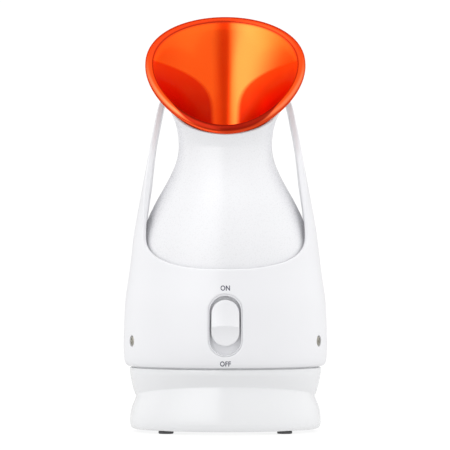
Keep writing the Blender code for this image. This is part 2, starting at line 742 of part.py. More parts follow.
def make_tower():
    inner_offset = HORN_WALL + HORN_GAP
    rings = [round_ring(radius, z) for radius, z in TOWER_PROFILE]
    rings += [mouth_ring(step, inner_offset + TOWER_WALL) for step in MOUTH_STEPS]
    rings += [mouth_ring(step, inner_offset) for step in reversed(MOUTH_STEPS)]
    rings += [round_ring(radius, z) for radius, z in TOWER_INNER_PROFILE]
    tower = ring_solid("steam_tower", rings, "white_shell")
    cut(tower, pocket("tower_pocket"))
    bottom = TOWER_PROFILE[0][1]
    for name, degrees in TOWER_SCREW_AZIMUTHS.items():
        boss_ends = tower_screw_place(degrees, bottom), tower_screw_place(degrees, TOWER_BOSS_TOP)
        join(tower, rod("tower_boss_" + name, *boss_ends, TOWER_BOSS_RADIUS))
        hole_ends = tower_screw_place(degrees, bottom - 1), tower_screw_place(degrees, TOWER_BOSS_TOP - 3)
        hole(tower, "tower_hole_" + name, *hole_ends)
        screw("tower_screw_" + name, tower_screw_place(degrees, CARRIER_BOTTOM - 0.1), (0, 0, 1), 11)


# ---------------------------------------------------------------- boiler and its carrier


def make_carrier():
    """A plate over the base's posts, with an upright sleeve round the boiler."""
    carrier = turned_ring("tank_carrier", CARRIER_PROFILE, "frame_plastic")
    cut(carrier, pocket("carrier_pocket", top=70, back=-36.4))
    for side in (-1, 1):
        cut(carrier, box(f"carrier_window_{side}", (side * 33.5 - 6, -9, 72), (side * 33.5 + 6, 9, 98)))
    past_plate = CARRIER_BOTTOM - 3, CARRIER_TOP + 3
    for name, degrees in TOWER_SCREW_AZIMUTHS.items():
        hole(carrier, "carrier_tower_hole_" + name, *(tower_screw_place(degrees, z) for z in past_plate))
    for name, degrees in POST_AZIMUTHS.items():
        hole(carrier, "carrier_hole_" + name, *(post_place(degrees, z) for z in past_plate))
        screw("carrier_screw_" + name, post_place(degrees, CARRIER_TOP + 0.1), (0, 0, -1), 9)


def make_heater():
    heater = turned_disc("heater_plate", HEATER_PROFILE, "aluminium")
    clamp = turned_ring("heater_clamp", CLAMP_PROFILE, "steel")
    bottom = CLAMP_PROFILE[0][1]
    for name, x in HEATER_SCREWS.items():
        hole(heater, "heater_hole_" + name, (x, 0, bottom), (x, 0, 69))
        hole(clamp, "clamp_hole_" + name, (x, 0, bottom - 1), (x, 0, bottom + 3))
        screw("heater_screw_" + name, (x, 0, bottom - 0.1), (0, 0, 1), 4.4)
    thermostat = turned_disc("thermostat", THERMOSTAT_PROFILE, "black_plastic", segments=20)
    for side in (-1, 1):
        blade = box(f"blade_{side}", (side * 3.5 - 0.5, -2.5, 51), (side * 3.5 + 0.5, 2.5, 56.5))
        join(thermostat, blade)
    rod("thermal_fuse", (-6, FUSE_Y, FUSE_Z), (6, FUSE_Y, FUSE_Z), 1.5, "steel")


def make_boiler():
    """The water tank, the heater under it, and the chimney that leads its steam to the horn's throat."""
    turned_disc("boiler_tank", TANK_PROFILE, "aluminium")
    turned_ring("tank_gasket", GASKET_PROFILE, "silicone")
    make_heater()
    chimney = turned_ring("steam_chimney", CHIMNEY_PROFILE, "frame_plastic")
    hole(chimney, "grommet_hole", (0, 16, NEEDLE_Z), (0, 26, NEEDLE_Z), 2.3)
    grommet = rod("needle_grommet", (0, 20.3, NEEDLE_Z), (0, 24.2, NEEDLE_Z), 2.0, "silicone")
    hole(grommet, "grommet_bore", (0, 19, NEEDLE_Z), (0, 26, NEEDLE_Z), 0.9, segments=8)
    rod("ion_needle", (0, 26.8, NEEDLE_Z), (0, 9, NEEDLE_Z), 0.6, "steel", segments=8, end_radius=0.1)


# ---------------------------------------------------------------- switch


def front_point(point, depth):
    """A point moved along Y to lie at a depth behind the shell's front surface."""
    return Vector((point.x, depth - math.sqrt(shell_radius(point.z) ** 2 - point.x**2), point.z))


def make_bezel():
    """The switch's well: its edge follows the shell, and its floor has a slot for the button's stem."""
    outer = slot_outline(WELL_OUTER, WELL_OUTER_Z, segments=32)
    lip = slot_outline(WELL_INNER, WELL_INNER_Z, segments=32)
    slot = slot_outline(STEM_SLOT, WELL_INNER_Z, segments=32)
    rings = [
        [front_point(point, WELL_EDGE_DEPTH) for point in outer],
        [front_point(point, WELL_LIP_DEPTH) for point in lip],
        [front_point(point, WELL_FLOOR_DEPTH) for point in lip],
        [front_point(point, WELL_FLOOR_DEPTH) for point in slot],
        [Vector((point.x, WELL_BACK, point.z)) for point in slot],
        [Vector((point.x, WELL_BACK, point.z)) for point in outer],
    ]
    return ring_solid("switch_bezel", rings, "white_shell")


def make_button():
    """The sliding button: an upright slot shape whose front rises to a ridge across its middle."""
    outline = slot_outline(BUTTON_SIZE, BUTTON_Z, segments=28)
    count = len(outline)
    centre = Vector((0, 0, BUTTON_Z))
    inner = [centre + (point - centre) * BUTTON_EDGE_SHARE for point in outline]

    def depth(z):
        away = abs(z - BUTTON_Z) / (BUTTON_SIZE[1] / 2)
        return BUTTON_FALL * away**1.4 - BUTTON_RIDGE

    points = [Vector((point.x, BUTTON_BACK, point.z)) for point in outline]
    points += [front_point(point, depth(point.z) + BUTTON_EDGE_DEPTH) for point in outline]
    points += [front_point(point, depth(point.z)) for point in inner]
    faces = [tuple(range(count)), *band_faces(0, count, count), *band_faces(count, 2 * count, count)]
    # The front is a ladder, whose rungs join each point on the left to its mirror on the right.
    climb = sorted(range(count), key=lambda i: (round(outline[i].z, 3), outline[i].x))
    rungs = [(2 * count + climb[i], 2 * count + climb[i + 1]) for i in range(0, count, 2)]
    faces += [(a, b, d, c) for (a, b), (c, d) in zip(rungs, rungs[1:])]
    button = add_solid("power_button", points, faces, "white_shell")
    join(button, box("button_stem", (-2, BUTTON_BACK - 0.6, BUTTON_Z - 2.5), (2, -51, BUTTON_Z + 2.5)))
    return button


def make_switch():
    bezel = make_bezel()
    body = box("switch_body", (-7, SWITCH_FRONT, 53), (7, -41, 75), "black_plastic", bevel=0.6)
    join(body, box("switch_ears", (-5, SWITCH_FRONT, 46.3), (5, SWITCH_FRONT + 1.7, 81.7)))
    for name, z in SWITCH_SCREWS.items():
        join(bezel, rod("bezel_post_" + name, (0, WELL_BACK - 0.4, z), (0, SWITCH_FRONT - GAP, z), 2.6))
        hole(bezel, "bezel_hole_" + name, (0, WELL_BACK - 0.2, z), (0, SWITCH_FRONT + 1, z))
        hole(body, "ear_hole_" + name, (0, SWITCH_FRONT - 1, z), (0, SWITCH_FRONT + 3, z))
        screw("switch_screw_" + name, (0, SWITCH_FRONT + 1.9, z), (0, -1, 0), 5.8)
    lever_low, lever_high = (-3.5, -50.7, BUTTON_Z - 4), (3.5, SWITCH_FRONT - GAP, BUTTON_Z + 4)
    lever = box("switch_lever", lever_low, lever_high, "black_plastic")
    attach_to_slide("button_slide", (0, -BAND_RADIUS, BUTTON_Z), [make_button(), lever])


# ---------------------------------------------------------------- electrical parts


def make_board():
    board = box("control_board", (-30, -20, BOARD_BOTTOM), (30, 20, BOARD_TOP), "board")
    for name, (x, y) in BOARD_POSTS.items():
        hole(board, "board_hole_" + name, (x, y, BOARD_BOTTOM - 1), (x, y, BOARD_TOP + 1))
    for name, post in BOARD_SCREWS.items():
        screw("board_screw_" + name, (*BOARD_POSTS[post], BOARD_TOP + 0.1), (0, 0, -1), 6)
    deck = BOARD_TOP + GAP
    rod("board_capacitor", (13, 4, deck), (13, 4, deck + 13), 5, "black_plastic", segments=16)
    box("board_fuse", (-20, 0, deck), (-8, 10, deck + 9), "ceramic", bevel=0.8)
    box("board_terminal", (-9, -17, deck), (9, -9.5, deck + 8), "pale_wire", bevel=0.6)


def make_inlet():
    """The socket for a detachable mains lead, in the rear of the base."""
    inlet = level_slot("power_inlet", INLET_SIZE, INLET_Z, INLET_Y, "black_plastic")
    floor_y = INLET_Y[0] + 5
    cut(inlet, level_slot("inlet_recess", INLET_RECESS, INLET_Z, (floor_y, INLET_Y[1] + 2)))
    for name, x in (("left", -PIN_X), ("right", PIN_X)):
        rod("inlet_pin_" + name, (x, floor_y + GAP, INLET_Z), (x, floor_y + 10, INLET_Z), 1.2, "brass")


def make_wiring():
    wire("live_wire", LIVE_PATH, WIRE_RADIUS, "red_wire")
    wire("heater_wire", HEATER_PATH, WIRE_RADIUS, "red_wire")
    wire("neutral_wire", NEUTRAL_PATH, WIRE_RADIUS, "pale_wire")
    box("ion_module", (-12, 37.2, 63), (12, 47.6, 92), "black_plastic", bevel=0.8)
    wire("ion_wire", ION_PATH, WIRE_RADIUS * 0.9, "pale_wire")


def main():
    clear_scene()
    make_housing()
    make_plate()
    make_shell()
    make_tower()
    make_nozzle()
    make_carrier()
    make_boiler()
    make_switch()
    make_board()
    make_inlet()
    make_wiring()


main()
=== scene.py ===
import json
from math import atan2, copysign, cos, hypot, pi, radians, sin, sqrt, tau

import bmesh
import bpy
from mathutils import Matrix, Vector

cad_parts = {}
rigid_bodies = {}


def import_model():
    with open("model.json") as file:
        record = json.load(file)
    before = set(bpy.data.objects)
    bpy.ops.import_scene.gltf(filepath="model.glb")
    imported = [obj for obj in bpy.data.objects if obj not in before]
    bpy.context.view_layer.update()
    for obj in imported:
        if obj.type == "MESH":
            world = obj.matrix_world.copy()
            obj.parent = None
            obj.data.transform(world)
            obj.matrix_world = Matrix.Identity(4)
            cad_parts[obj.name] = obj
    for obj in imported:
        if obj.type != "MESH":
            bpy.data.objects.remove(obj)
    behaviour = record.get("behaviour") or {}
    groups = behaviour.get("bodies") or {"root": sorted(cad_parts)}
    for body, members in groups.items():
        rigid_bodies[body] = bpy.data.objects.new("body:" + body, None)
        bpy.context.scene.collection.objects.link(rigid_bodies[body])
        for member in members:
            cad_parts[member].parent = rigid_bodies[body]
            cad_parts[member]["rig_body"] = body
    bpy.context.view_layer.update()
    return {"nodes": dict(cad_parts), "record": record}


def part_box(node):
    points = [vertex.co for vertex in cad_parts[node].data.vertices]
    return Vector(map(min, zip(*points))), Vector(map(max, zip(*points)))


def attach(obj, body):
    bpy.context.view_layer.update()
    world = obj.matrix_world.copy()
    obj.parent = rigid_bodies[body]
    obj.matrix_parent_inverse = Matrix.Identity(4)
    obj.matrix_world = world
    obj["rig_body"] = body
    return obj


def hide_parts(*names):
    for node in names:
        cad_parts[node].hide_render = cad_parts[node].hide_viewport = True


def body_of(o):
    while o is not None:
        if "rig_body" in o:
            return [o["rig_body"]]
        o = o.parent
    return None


# The looks of the facial steamer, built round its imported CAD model. Shapes are worked out in millimetres
# in the model's own frame: +Z up, the floor at z = 0, the switch at the front, at -Y. An azimuth is
# measured about Z from the front towards +X.

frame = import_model()
MM = 0.001
SIDES = 144  # round the large parts
SHARP = radians(38)
SLOTS = {part["node"]: part["material_slot"] for part in frame["record"]["subparts"]}


def box_mm(node):
    low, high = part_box(node)
    return low / MM, high / MM


def middle(low, high):
    return [(a + b) / 2 for a, b in zip(low, high)]


# ---- driving sizes

SHELL_LOW, SHELL_HIGH = box_mm("main_shell")
SHELL_BOTTOM = SHELL_LOW.z
SHELL_WALL = 2.4
HANDLE_WALL = 3.7
HANDLE_WALL_RISE = 30  # the loop thickens over this height above the wings
EDGE_RADIUS = 0.8
EDGE_STEPS = 3
SHELL_PROFILE = [  # radius, height
    (57, 38.3), (58.6, 39.6), (59.6, 42.2), (60, 46), (60.1, 52), (60, 59),
    (59.7, 68), (59.1, 77.5), (57.7, 87.5), (56.4, 96.5), (55.3, 106), (54.1, 116),
    (52.4, 126), (50.6, 136), (48.4, 148), (46, 161), (43.2, 176), (40.4, 191), (37.8, 204),
]
WING_TOP = 116  # where the lower edges of the U openings end and the loop begins
FRONT_CUT = {"half_width": 48.3, "bottom": 96.2, "columns": 58}
REAR_CUT = {"half_width": 47.7, "bottom": 98, "columns": 56}
CUT_POWER = 2 / 2.5
WING_STEPS = 15
EDGE_OFFSETS = (EDGE_RADIUS, 1.6, 2.8, 4.3, 6)  # rows of points at these distances from an opening
BODY_ROWS = 22
BODY_ROW_SPREAD = 1.25  # above 1 the rows are closer together at the bottom
BODY_TOP = 86
BLEND_ROWS = 8
HANDLE_EDGES = [  # height, then Y of the loop's front edge and of its rear edge
    (116, -24.4, 25.5), (124, -21.8, 21.6), (134, -19, 19.4), (147, -15, 20.6),
    (162, -8, 25.2), (176, 4, 32.6), (190, 17, 41.8), (200, 26, 48.4),
    (210, 34.4, 54.8), (218, 41.2, 60.8),
]
HANDLE_SHOULDER = 190
HANDLE_CROWN = SHELL_HIGH.z
HANDLE_SLOPE = 0.21
HANDLE_LOW_ROWS = 26
HANDLE_ARCH_ROWS = 24
HANDLE_LINE_STEPS = 80
HANDLE_ROUND_TOP = 204  # above this the loop keeps its curve from side to side
FLAT_RISE = 60  # over this height the loop's sides turn from round to flat

WELL_OUTER = (19.6, 36)
WELL_INNER = (18, 34.2)
WELL_OUTER_Z = 63.6
WELL_INNER_Z = 63.4
WELL_FLOOR_DEPTH = 5
WELL_BACK = -53
WELL_WINDOW_COLUMNS = 6
WELL_WINDOW_MARGIN = 1.6
WELL_CLEARANCE = 0.15
WELL_RINGS = 4
STEM_SLOT = (5, 13)
LEGENDS = {"legend_on": ("ON", 85.2), "legend_off": ("OFF", 41.4)}
LEGEND_SIZE = 2.85 / 0.7
LEGEND_WIDTH = 0.86
LEGEND_SLICES = 12  # the letters are cut into level strips, so that they follow the curved shell

BUTTON_LOW, BUTTON_HIGH = box_mm("power_button")
BUTTON_SIZE = (BUTTON_HIGH.x - BUTTON_LOW.x, BUTTON_HIGH.z - BUTTON_LOW.z)
BUTTON_Z = middle(BUTTON_LOW, BUTTON_HIGH)[2]
BUTTON_BACK = -55.4
BUTTON_RINGS = 14
BUTTON_EDGE = 0.9
RIDGE_RISE = 1.6  # how far the ridge stands out of the shell, and how far below the middle it is
POCKET = ((-10.5, -66), (10.5, -66), (10.5, -44), (-10.5, -44))  # (x, y) corners of the switch's room
POCKET_HEIGHTS = (45, 84.5)

THROAT_RADIUS = 22.6
THROAT_Z = 165
SKIRT_BOTTOM = 150
FLARE_POWER = 2.4
RIM_CENTRE = Vector((0, 5, 212))
RIM_HALF_DEPTH = 35
RIM_HALF_WIDTH = 46.8
RIM_EGG = 0.19
RIM_NORMAL = Vector((0, -1, 1)).normalized()
RIM_INNER_SHARE = 0.905
HORN_WALL = 2
HORN_GAP = 0.7
HORN_STEPS = 26
HORN_NUDGE = 1e-3  # to either side, to find the directions of the horn's face
HORN_INNER_END = 0.97  # the share of the horn's height where its inner face meets the lip
HORN_OUTER_END = 0.8
SKIRT_HEIGHTS = (SKIRT_BOTTOM + 0.4, 154, 158, 162)
LIP = [  # share of the rim, lift off its plane, fall straight down
    (0.905, -0.3, 0), (0.91, 0.1, 0), (0.922, 0.42, 0), (0.945, 0.6, 0),
    (0.968, 0.5, 0), (0.987, 0.15, 0), (0.998, -0.4, 0.15), (1, -0.6, 0.6),
    (1, -0.6, 1.3), (0.996, -0.66, 1.8), (0.985, -0.8, 2.05), (0.968, -0.95, 2),
]
LIP_STEPS = 3
GUARD_HOLES = 6
GUARD_PITCH_RADIUS = 13.5

TOWER_WALL = 2.2
TOWER_PROFILE = [
    (53, 61), (53, 95), (52.7, 100), (51.8, 106.5), (49.8, 114.5), (46.5, 123.5),
    (41.5, 134.3), (35.8, 144.4), (31.6, 152.5), (28.9, 159.5), (27.8, 165),
]
TOWER_INNER_PROFILE = [
    (25.5, 163.5), (25.5, 156.5), (28.8, 151), (36, 138), (43, 124.2),
    (48.2, 111), (50.4, 100), (50.8, 93), (50.8, 61),
]
MOUTH_SHARE = 0.64
MOUTH_TILT = 0.06
MOUTH_ROUNDING = 0.02
MOUTH_STEPS = 8

BASE_BOTTOM = 1.8
CREASE_RADIUS = 52.7
CREASE_Z = 20.7
CREASE_RISE = 7
BAND_RADIUS = 56.4
BAND_TOP = 37.9
BAND_EDGE = 0.5
COLLAR_RADIUS = 55
COLLAR_TOP = 58
BASE_WALL = 2.2
SOCKET_SIZE = (15.6, 8.2)

SCREW_AZIMUTHS = {"front_left": -66, "front_right": 66, "rear_left": -114, "rear_right": 114}
SCREW_Z = 53.8
SCREW_SEAT = 58.9
POST_AZIMUTHS = {"front_right": 30, "rear_right": 150, "rear_left": 210, "front_left": 330}
POST_PITCH_RADIUS = 46.5
HEAD_RADIUS = 2.9
HEAD_HEIGHT = 1.3
SHANK_RADIUS = 1.4
THREAD_PITCH = 0.8
THREAD_ROOT = SHANK_RADIUS - 0.3
BOARD_POSTS = ((-25, -14), (-25, 14), (25, -14), (25, 14))
CORNERS = ("front_left", "front_right", "rear_left", "rear_right")

SUBSURFACE_RADIUS = (0.004, 0.004, 0.0035)
# The petals are painted reflections in the horn's material, where its lower sides reflect each other.
PETAL_START = 0.181  # height, in metres, from which the petals part
PETAL_RISE = 0.038
PETAL_POWER = 3.8
ALONG_Y, ALONG_Z = (1, 12, 1), (1, 1, 14)

BACKDROP = 1.05  # brightness of what is behind the object
FLOOR_REACH = 30000
FLOOR_GLOW = 0.72
FLOOR_BOUNCE = 0.8
CAMERA_DISTANCE = 2.5
CAMERA_HEIGHT = 0.118
AIM_HEIGHT = 0.1217
FRAME_WIDTH = 0.266
SENSOR_WIDTH = 36
SIDE_SHIFT = -0.00078  # of the frame's width


# ---- curves


def polar(radius, azimuth, z):
    return Vector((radius * sin(azimuth), -radius * cos(azimuth), z))


def smoothstep(t):
    t = min(max(t, 0), 1)
    return t * t * (3 - 2 * t)


def slopes(values, places):
    """The slope at each of a row of values, for a smooth curve through them."""
    steps = [(b - a) / (v - u) for a, b, u, v in zip(values, values[1:], places, places[1:])]
    found = [steps[0]]
    for i in range(1, len(steps)):
        before, after = places[i] - places[i - 1], places[i + 1] - places[i]
        found.append((steps[i - 1] * after + steps[i] * before) / (before + after))
    return found + [steps[-1]]


def hermite(values, tangents, places, place):
    i = 0
    while i < len(places) - 2 and place > places[i + 1]:
        i += 1
    width = places[i + 1] - places[i]
    t = (place - places[i]) / width
    a, b, c, d = 2 * t**3 - 3 * t**2 + 1, t**3 - 2 * t**2 + t, 3 * t**2 - 2 * t**3, t**3 - t**2
    return values[i] * a + tangents[i] * (b * width) + values[i + 1] * c + tangents[i + 1] * (d * width)


def smooth_function(pairs):
    """A smooth function of the second number of each pair, whose value there is the first."""
    values, places = [p[0] for p in pairs], [p[1] for p in pairs]
    tangents = slopes(values, places)
    return lambda place: hermite(values, tangents, places, place)


def distances_along(points):
    """How far each of a row of points is along the straight lines between them."""
    distances = [0]
    for a, b in zip(points, points[1:]):
        distances.append(distances[-1] + (b - a).length)
    return distances


def smooth_path(points, steps):
    """A smooth curve through points, with so many steps in each stretch between two of them."""
    points = [Vector(point) for point in points]
    places = distances_along(points)
    tangents = slopes(points, places)
    path = []
    for start, end in zip(places, places[1:]):
        path += [hermite(points, tangents, places, start + (end - start) * j / steps) for j in range(steps)]
    return path + [points[-1]]


shell_radius = smooth_function(SHELL_PROFILE)
handle_front = smooth_function([(front, z) for z, front, _ in HANDLE_EDGES])
handle_rear = smooth_function([(rear, z) for z, _, rear in HANDLE_EDGES])


def slot_outline(size, centre_z, count):
    """(x, z) points round an upright slot of that width and height, counter-clockwise from the right."""
    radius = size[0] / 2
    straight = size[1] / 2 - radius
    length = 4 * straight + tau * radius
    outline = []
    for i in range(count):
        run = length * i / count
        side = 1 if run < length / 2 else -1
        run = run % (length / 2)
        if run < straight:
            x, z = radius, run
        elif run < straight + pi * radius:
            angle = (run - straight) / radius
            x, z = radius * cos(angle), straight + radius * sin(angle)
        else:
            x, z = -radius, 2 * straight + pi * radius - run
        outline.append((side * x, centre_z + side * z))
    return outline


def between(first, second, share):
    """The outline at a share of the way from one outline to another."""
    return [(a + (c - a) * share, b + (d - b) * share) for (a, b), (c, d) in zip(first, second)]


def slot_reach(size, angle):
    """How far the outline of a slot is from its centre, in the direction of an angle."""
    radius = size[0] / 2
    straight = size[1] / 2 - radius
    across, up = abs(cos(angle)), abs(sin(angle))
    if radius * up <= straight * across:
        return radius / across
    return straight * up + sqrt(radius**2 - (straight * across) ** 2)


def on_front(x, z, depth):
    """The point of the shell's front at x and z, or at a depth behind it."""
    return Vector((x, depth - sqrt(shell_radius(z) ** 2 - x**2), z))


def front_ring(outline, depth=0):
    return [on_front(x, z, depth) for x, z in outline]


def upright_ring(outline, y):
    return [Vector((x, y, z)) for x, z in outline]


# ---- meshes


def add_object(name, data):
    obj = bpy.data.objects.new(name, data)
    bpy.context.scene.collection.objects.link(obj)
    return obj


def add_mesh(name, points, faces):
    """An object from points in millimetres, smooth except over sharp edges, with its normals outwards."""
    mesh = bpy.data.meshes.new(name)
    mesh.from_pydata([Vector(point) * MM for point in points], [], faces)
    shape = bmesh.new()
    shape.from_mesh(mesh)
    loose = [vert for vert in shape.verts if not vert.link_faces]
    bmesh.ops.delete(shape, geom=loose, context="VERTS")
    bmesh.ops.remove_doubles(shape, verts=shape.verts, dist=1e-4 * MM)
    bmesh.ops.recalc_face_normals(shape, faces=shape.faces)
    shape.to_mesh(mesh)
    shape.free()
    mesh.shade_smooth()
    mesh.set_sharp_from_angle(angle=SHARP)
    return add_object(name, mesh)


def band(lower, upper, count):
    return [(lower + j, lower + (j + 1) % count, upper + (j + 1) % count, upper + j) for j in range(count)]


def loft(name, rings, ends="covered"):
    """A body from rings of points. Its ends are covered by flat faces, or joined to each other, like a tyre.

    With "closing", only the first end is covered: the last ring has shrunk to a line.
    """
    count = len(rings[0])
    starts = [i * count for i in range(len(rings))]
    faces = []
    for lower, upper in zip(starts, starts[1:]):
        faces += band(lower, upper, count)
    if ends == "joined":
        faces += band(starts[-1], starts[0], count)
    if ends in ("covered", "closing"):
        faces.append(tuple(range(count)))
    if ends == "covered":
        faces.append(tuple(range(starts[-1], starts[-1] + count)))
    return add_mesh(name, sum(rings, []), faces)


def prism(name, outline, heights):
    """A body with the same (x, y) outline at its two heights."""
    return loft(name, [[Vector((x, y, z)) for x, y in outline] for z in heights])


def from_columns(name, column):
    """A ring whose closed section at each azimuth is the list of points that column gives."""
    columns = [column(tau * i / SIDES) for i in range(SIDES)]
    return loft(name, [list(ring) for ring in zip(*columns)], ends="joined")


def turned(name, profile, sides, at=None, direction=(0, 0, 1), ends="covered"):
    """A body turned about Z from (radius, height) pairs, and then placed if it has to be."""
    rings = []
    for radius, z in profile:
        rings.append([polar(radius, tau * i / sides, z) for i in range(sides)])
    obj = loft(name, rings, ends)
    return obj if at is None else place(obj, at, direction)


def place(obj, at, direction):
    """Moves an object's mesh so that its origin is at a point, and its +Z along a direction."""
    turn = Vector(direction).to_track_quat("Z", "Y").to_matrix().to_4x4()
    obj.data.transform(Matrix.Translation(Vector(at) * MM) @ turn)
    return obj


def carve(obj, cutters, operation="DIFFERENCE"):
    """Cuts the cutters from an object, or joins them to it, and removes them."""
    for cutter in cutters:
        modifier = obj.modifiers.new(cutter.name, "BOOLEAN")
        modifier.operation = operation
        modifier.object = cutter
        modifier.solver = "EXACT"
    mesh = evaluated_mesh(obj)
    obj.modifiers.clear()
    obj.data = mesh
    for cutter in cutters:
        bpy.data.objects.remove(cutter)
    mesh.set_sharp_from_angle(angle=SHARP)


def evaluated_mesh(obj):
    """The mesh that an object's modifiers or letters make."""
    bpy.context.view_layer.update()
    return bpy.data.meshes.new_from_object(obj.evaluated_get(bpy.context.evaluated_depsgraph_get()))


def dress(obj, look):
    obj.data.materials.clear()
    obj.data.materials.append(LOOKS[look])


def piece(obj, node):
    """Makes an object stand for a CAD node: on its body, and with the look of its slot."""
    dress(obj, SLOTS[node])
    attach(obj, *body_of(frame["nodes"][node]))
    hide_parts(node)


class Skin:
    """An open sheet of points and faces, which becomes a wall with rounded edges."""

    def __init__(self):
        self.points = []
        self.faces = []

    def add(self, points):
        start = len(self.points)
        self.points += points
        return list(range(start, len(self.points)))

    def bridge(self, lower, upper, closed=False):
        pairs = list(zip(lower, upper))
        following = pairs[1:] + pairs[:1] if closed else pairs[1:]
        for (a, d), (b, c) in zip(pairs, following):
            self.faces.append((a, b, c, d))

    def thicken(self, wall_at):
        """Points and faces of a closed wall. The sheet is its outer face, up to the rounding of its edges."""
        sheet = bmesh.new()
        corners = [sheet.verts.new(point) for point in self.points]
        for face in self.faces:
            sheet.faces.new([corners[i] for i in face])
        sheet.verts.index_update()
        sheet.normal_update()
        normals = [corner.normal.copy() for corner in corners]
        following = {}
        for edge in sheet.edges:
            if len(edge.link_loops) == 1:
                loop = edge.link_loops[0]
                following[loop.vert.index] = loop.link_loop_next.vert.index
        sheet.free()

        count = len(self.points)
        walls = [wall_at(point) for point in self.points]
        points = list(self.points) + [p - n * wall for p, n, wall in zip(self.points, normals, walls)]
        faces = list(self.faces) + [tuple(i + count for i in reversed(face)) for face in self.faces]
        before = {b: a for a, b in following.items()}
        rims = {}
        for i in following:
            along = (self.points[following[i]] - self.points[before[i]]).normalized()
            out = along.cross(normals[i]).normalized()
            rim = [i]
            turns = [pi / 2 * k / EDGE_STEPS for k in range(EDGE_STEPS + 1)]
            bends = [(sin(turn), EDGE_RADIUS * (1 - cos(turn))) for turn in turns[1:]]
            bends += [(cos(turn), walls[i] - EDGE_RADIUS * (1 - sin(turn))) for turn in turns[:-1]]
            for reach, depth in bends:
                rim.append(len(points))
                points.append(self.points[i] + out * EDGE_RADIUS * reach - normals[i] * depth)
            rims[i] = rim + [i + count]
        for i, j in following.items():
            for k in range(len(rims[i]) - 1):
                faces.append((rims[j][k], rims[i][k], rims[i][k + 1], rims[j][k + 1]))
        return points, faces


# ---- materials


class Value:
    """An output of a node. Arithmetic on it adds the nodes that work out the result."""

    def __init__(self, node, socket):
        self.node = node
        self.socket = socket

    def math(self, operation, other=0):
        return self.node("Math", {0: self, 1: other}, operation=operation)

    def __add__(self, other):
        return self.math("ADD", other)

    def __sub__(self, other):
        return self.math("SUBTRACT", other)

    def __mul__(self, other):
        return self.math("MULTIPLY", other)

    def __abs__(self):
        return self.math("ABSOLUTE")

    def rise(self, low, high):
        """0 where this is at low, 1 where it is at high, and smooth between them."""
        ends = {"Value": self, "From Min": low, "From Max": high}
        return self.node("MapRange", ends, interpolation_type="SMOOTHSTEP")

    def ranged(self, low, high):
        return self * (high - low) + low


def fill(made, values):
    """Sets a node's inputs to plain values, or links Values to them."""
    for key, value in values.items():
        if isinstance(value, Value):
            made.id_data.links.new(value.socket, made.inputs[key])
        else:
            made.inputs[key].default_value = value


def node_adder(tree):
    """A function that adds a node of a type with given inputs, and gives one of its outputs."""

    def node(kind, values=(), out=0, **settings):
        made = tree.nodes.new("ShaderNode" + kind)
        for key, value in settings.items():
            setattr(made, key, value)
        fill(made, dict(values))
        return Value(node, made.outputs[out])

    return node


def bump(node, height, depth, strength=1):
    """The normals of a relief that is so many millimetres deep."""
    return node("Bump", {"Height": height, "Distance": depth * MM, "Strength": strength})


def parts_of(node, space):
    """X, Y and Z in one of the spaces of the texture coordinates."""
    place = node("TexCoord", out=space)
    return [node("SeparateXYZ", {0: place}, out=axis) for axis in "XYZ"]


def speckle(node, scale, stretch=(1, 1, 1)):
    """Noise through the object's own space, in grains per metre."""
    place = node("Mapping", {"Vector": node("TexCoord", out="Object"), "Scale": stretch})
    return node("TexNoise", {"Vector": place, "Scale": scale, "Detail": 2}, out="Fac")


def mixed(node, factor, first, second):
    """A blend of two colours, each a Value or plain red, green and blue."""
    first, second = [(*c, 1) if isinstance(c, tuple) else c for c in (first, second)]
    return node("Mix", {0: factor, 6: first, 7: second}, out=2, data_type="RGBA")


def new_material(name, **settings):
    """A material, a function that adds nodes to it, and one that feeds its Principled shader."""
    material = bpy.data.materials.new(name)
    material.use_nodes = True
    tree = material.node_tree

    def feed(**values):
        named = {key.replace("_", " ").title(): value for key, value in values.items()}
        fill(tree.nodes["Principled BSDF"], named)

    feed(**settings)
    return material, node_adder(tree), feed


def finish_material(name, colour, variation, roughness, relief, grain=1400, mottle=60,
                    stretch=(1, 1, 1), subsurface=0, **settings):
    """A moulded or metal finish: soft mottling, a fine grain in the relief and an uneven sheen."""
    material, node, feed = new_material(name, coat_roughness=0.08, subsurface_weight=subsurface,
                                        subsurface_radius=SUBSURFACE_RADIUS, **settings)
    low = tuple(c * (1 - variation) for c in colour)
    high = tuple(min(c * (1 + variation), 1) for c in colour)
    fine = speckle(node, grain, stretch)
    feed(base_color=mixed(node, speckle(node, mottle, stretch), low, high),
         roughness=fine.ranged(roughness * 0.85, roughness * 1.15),
         normal=bump(node, fine, relief, 0.5))
    return material


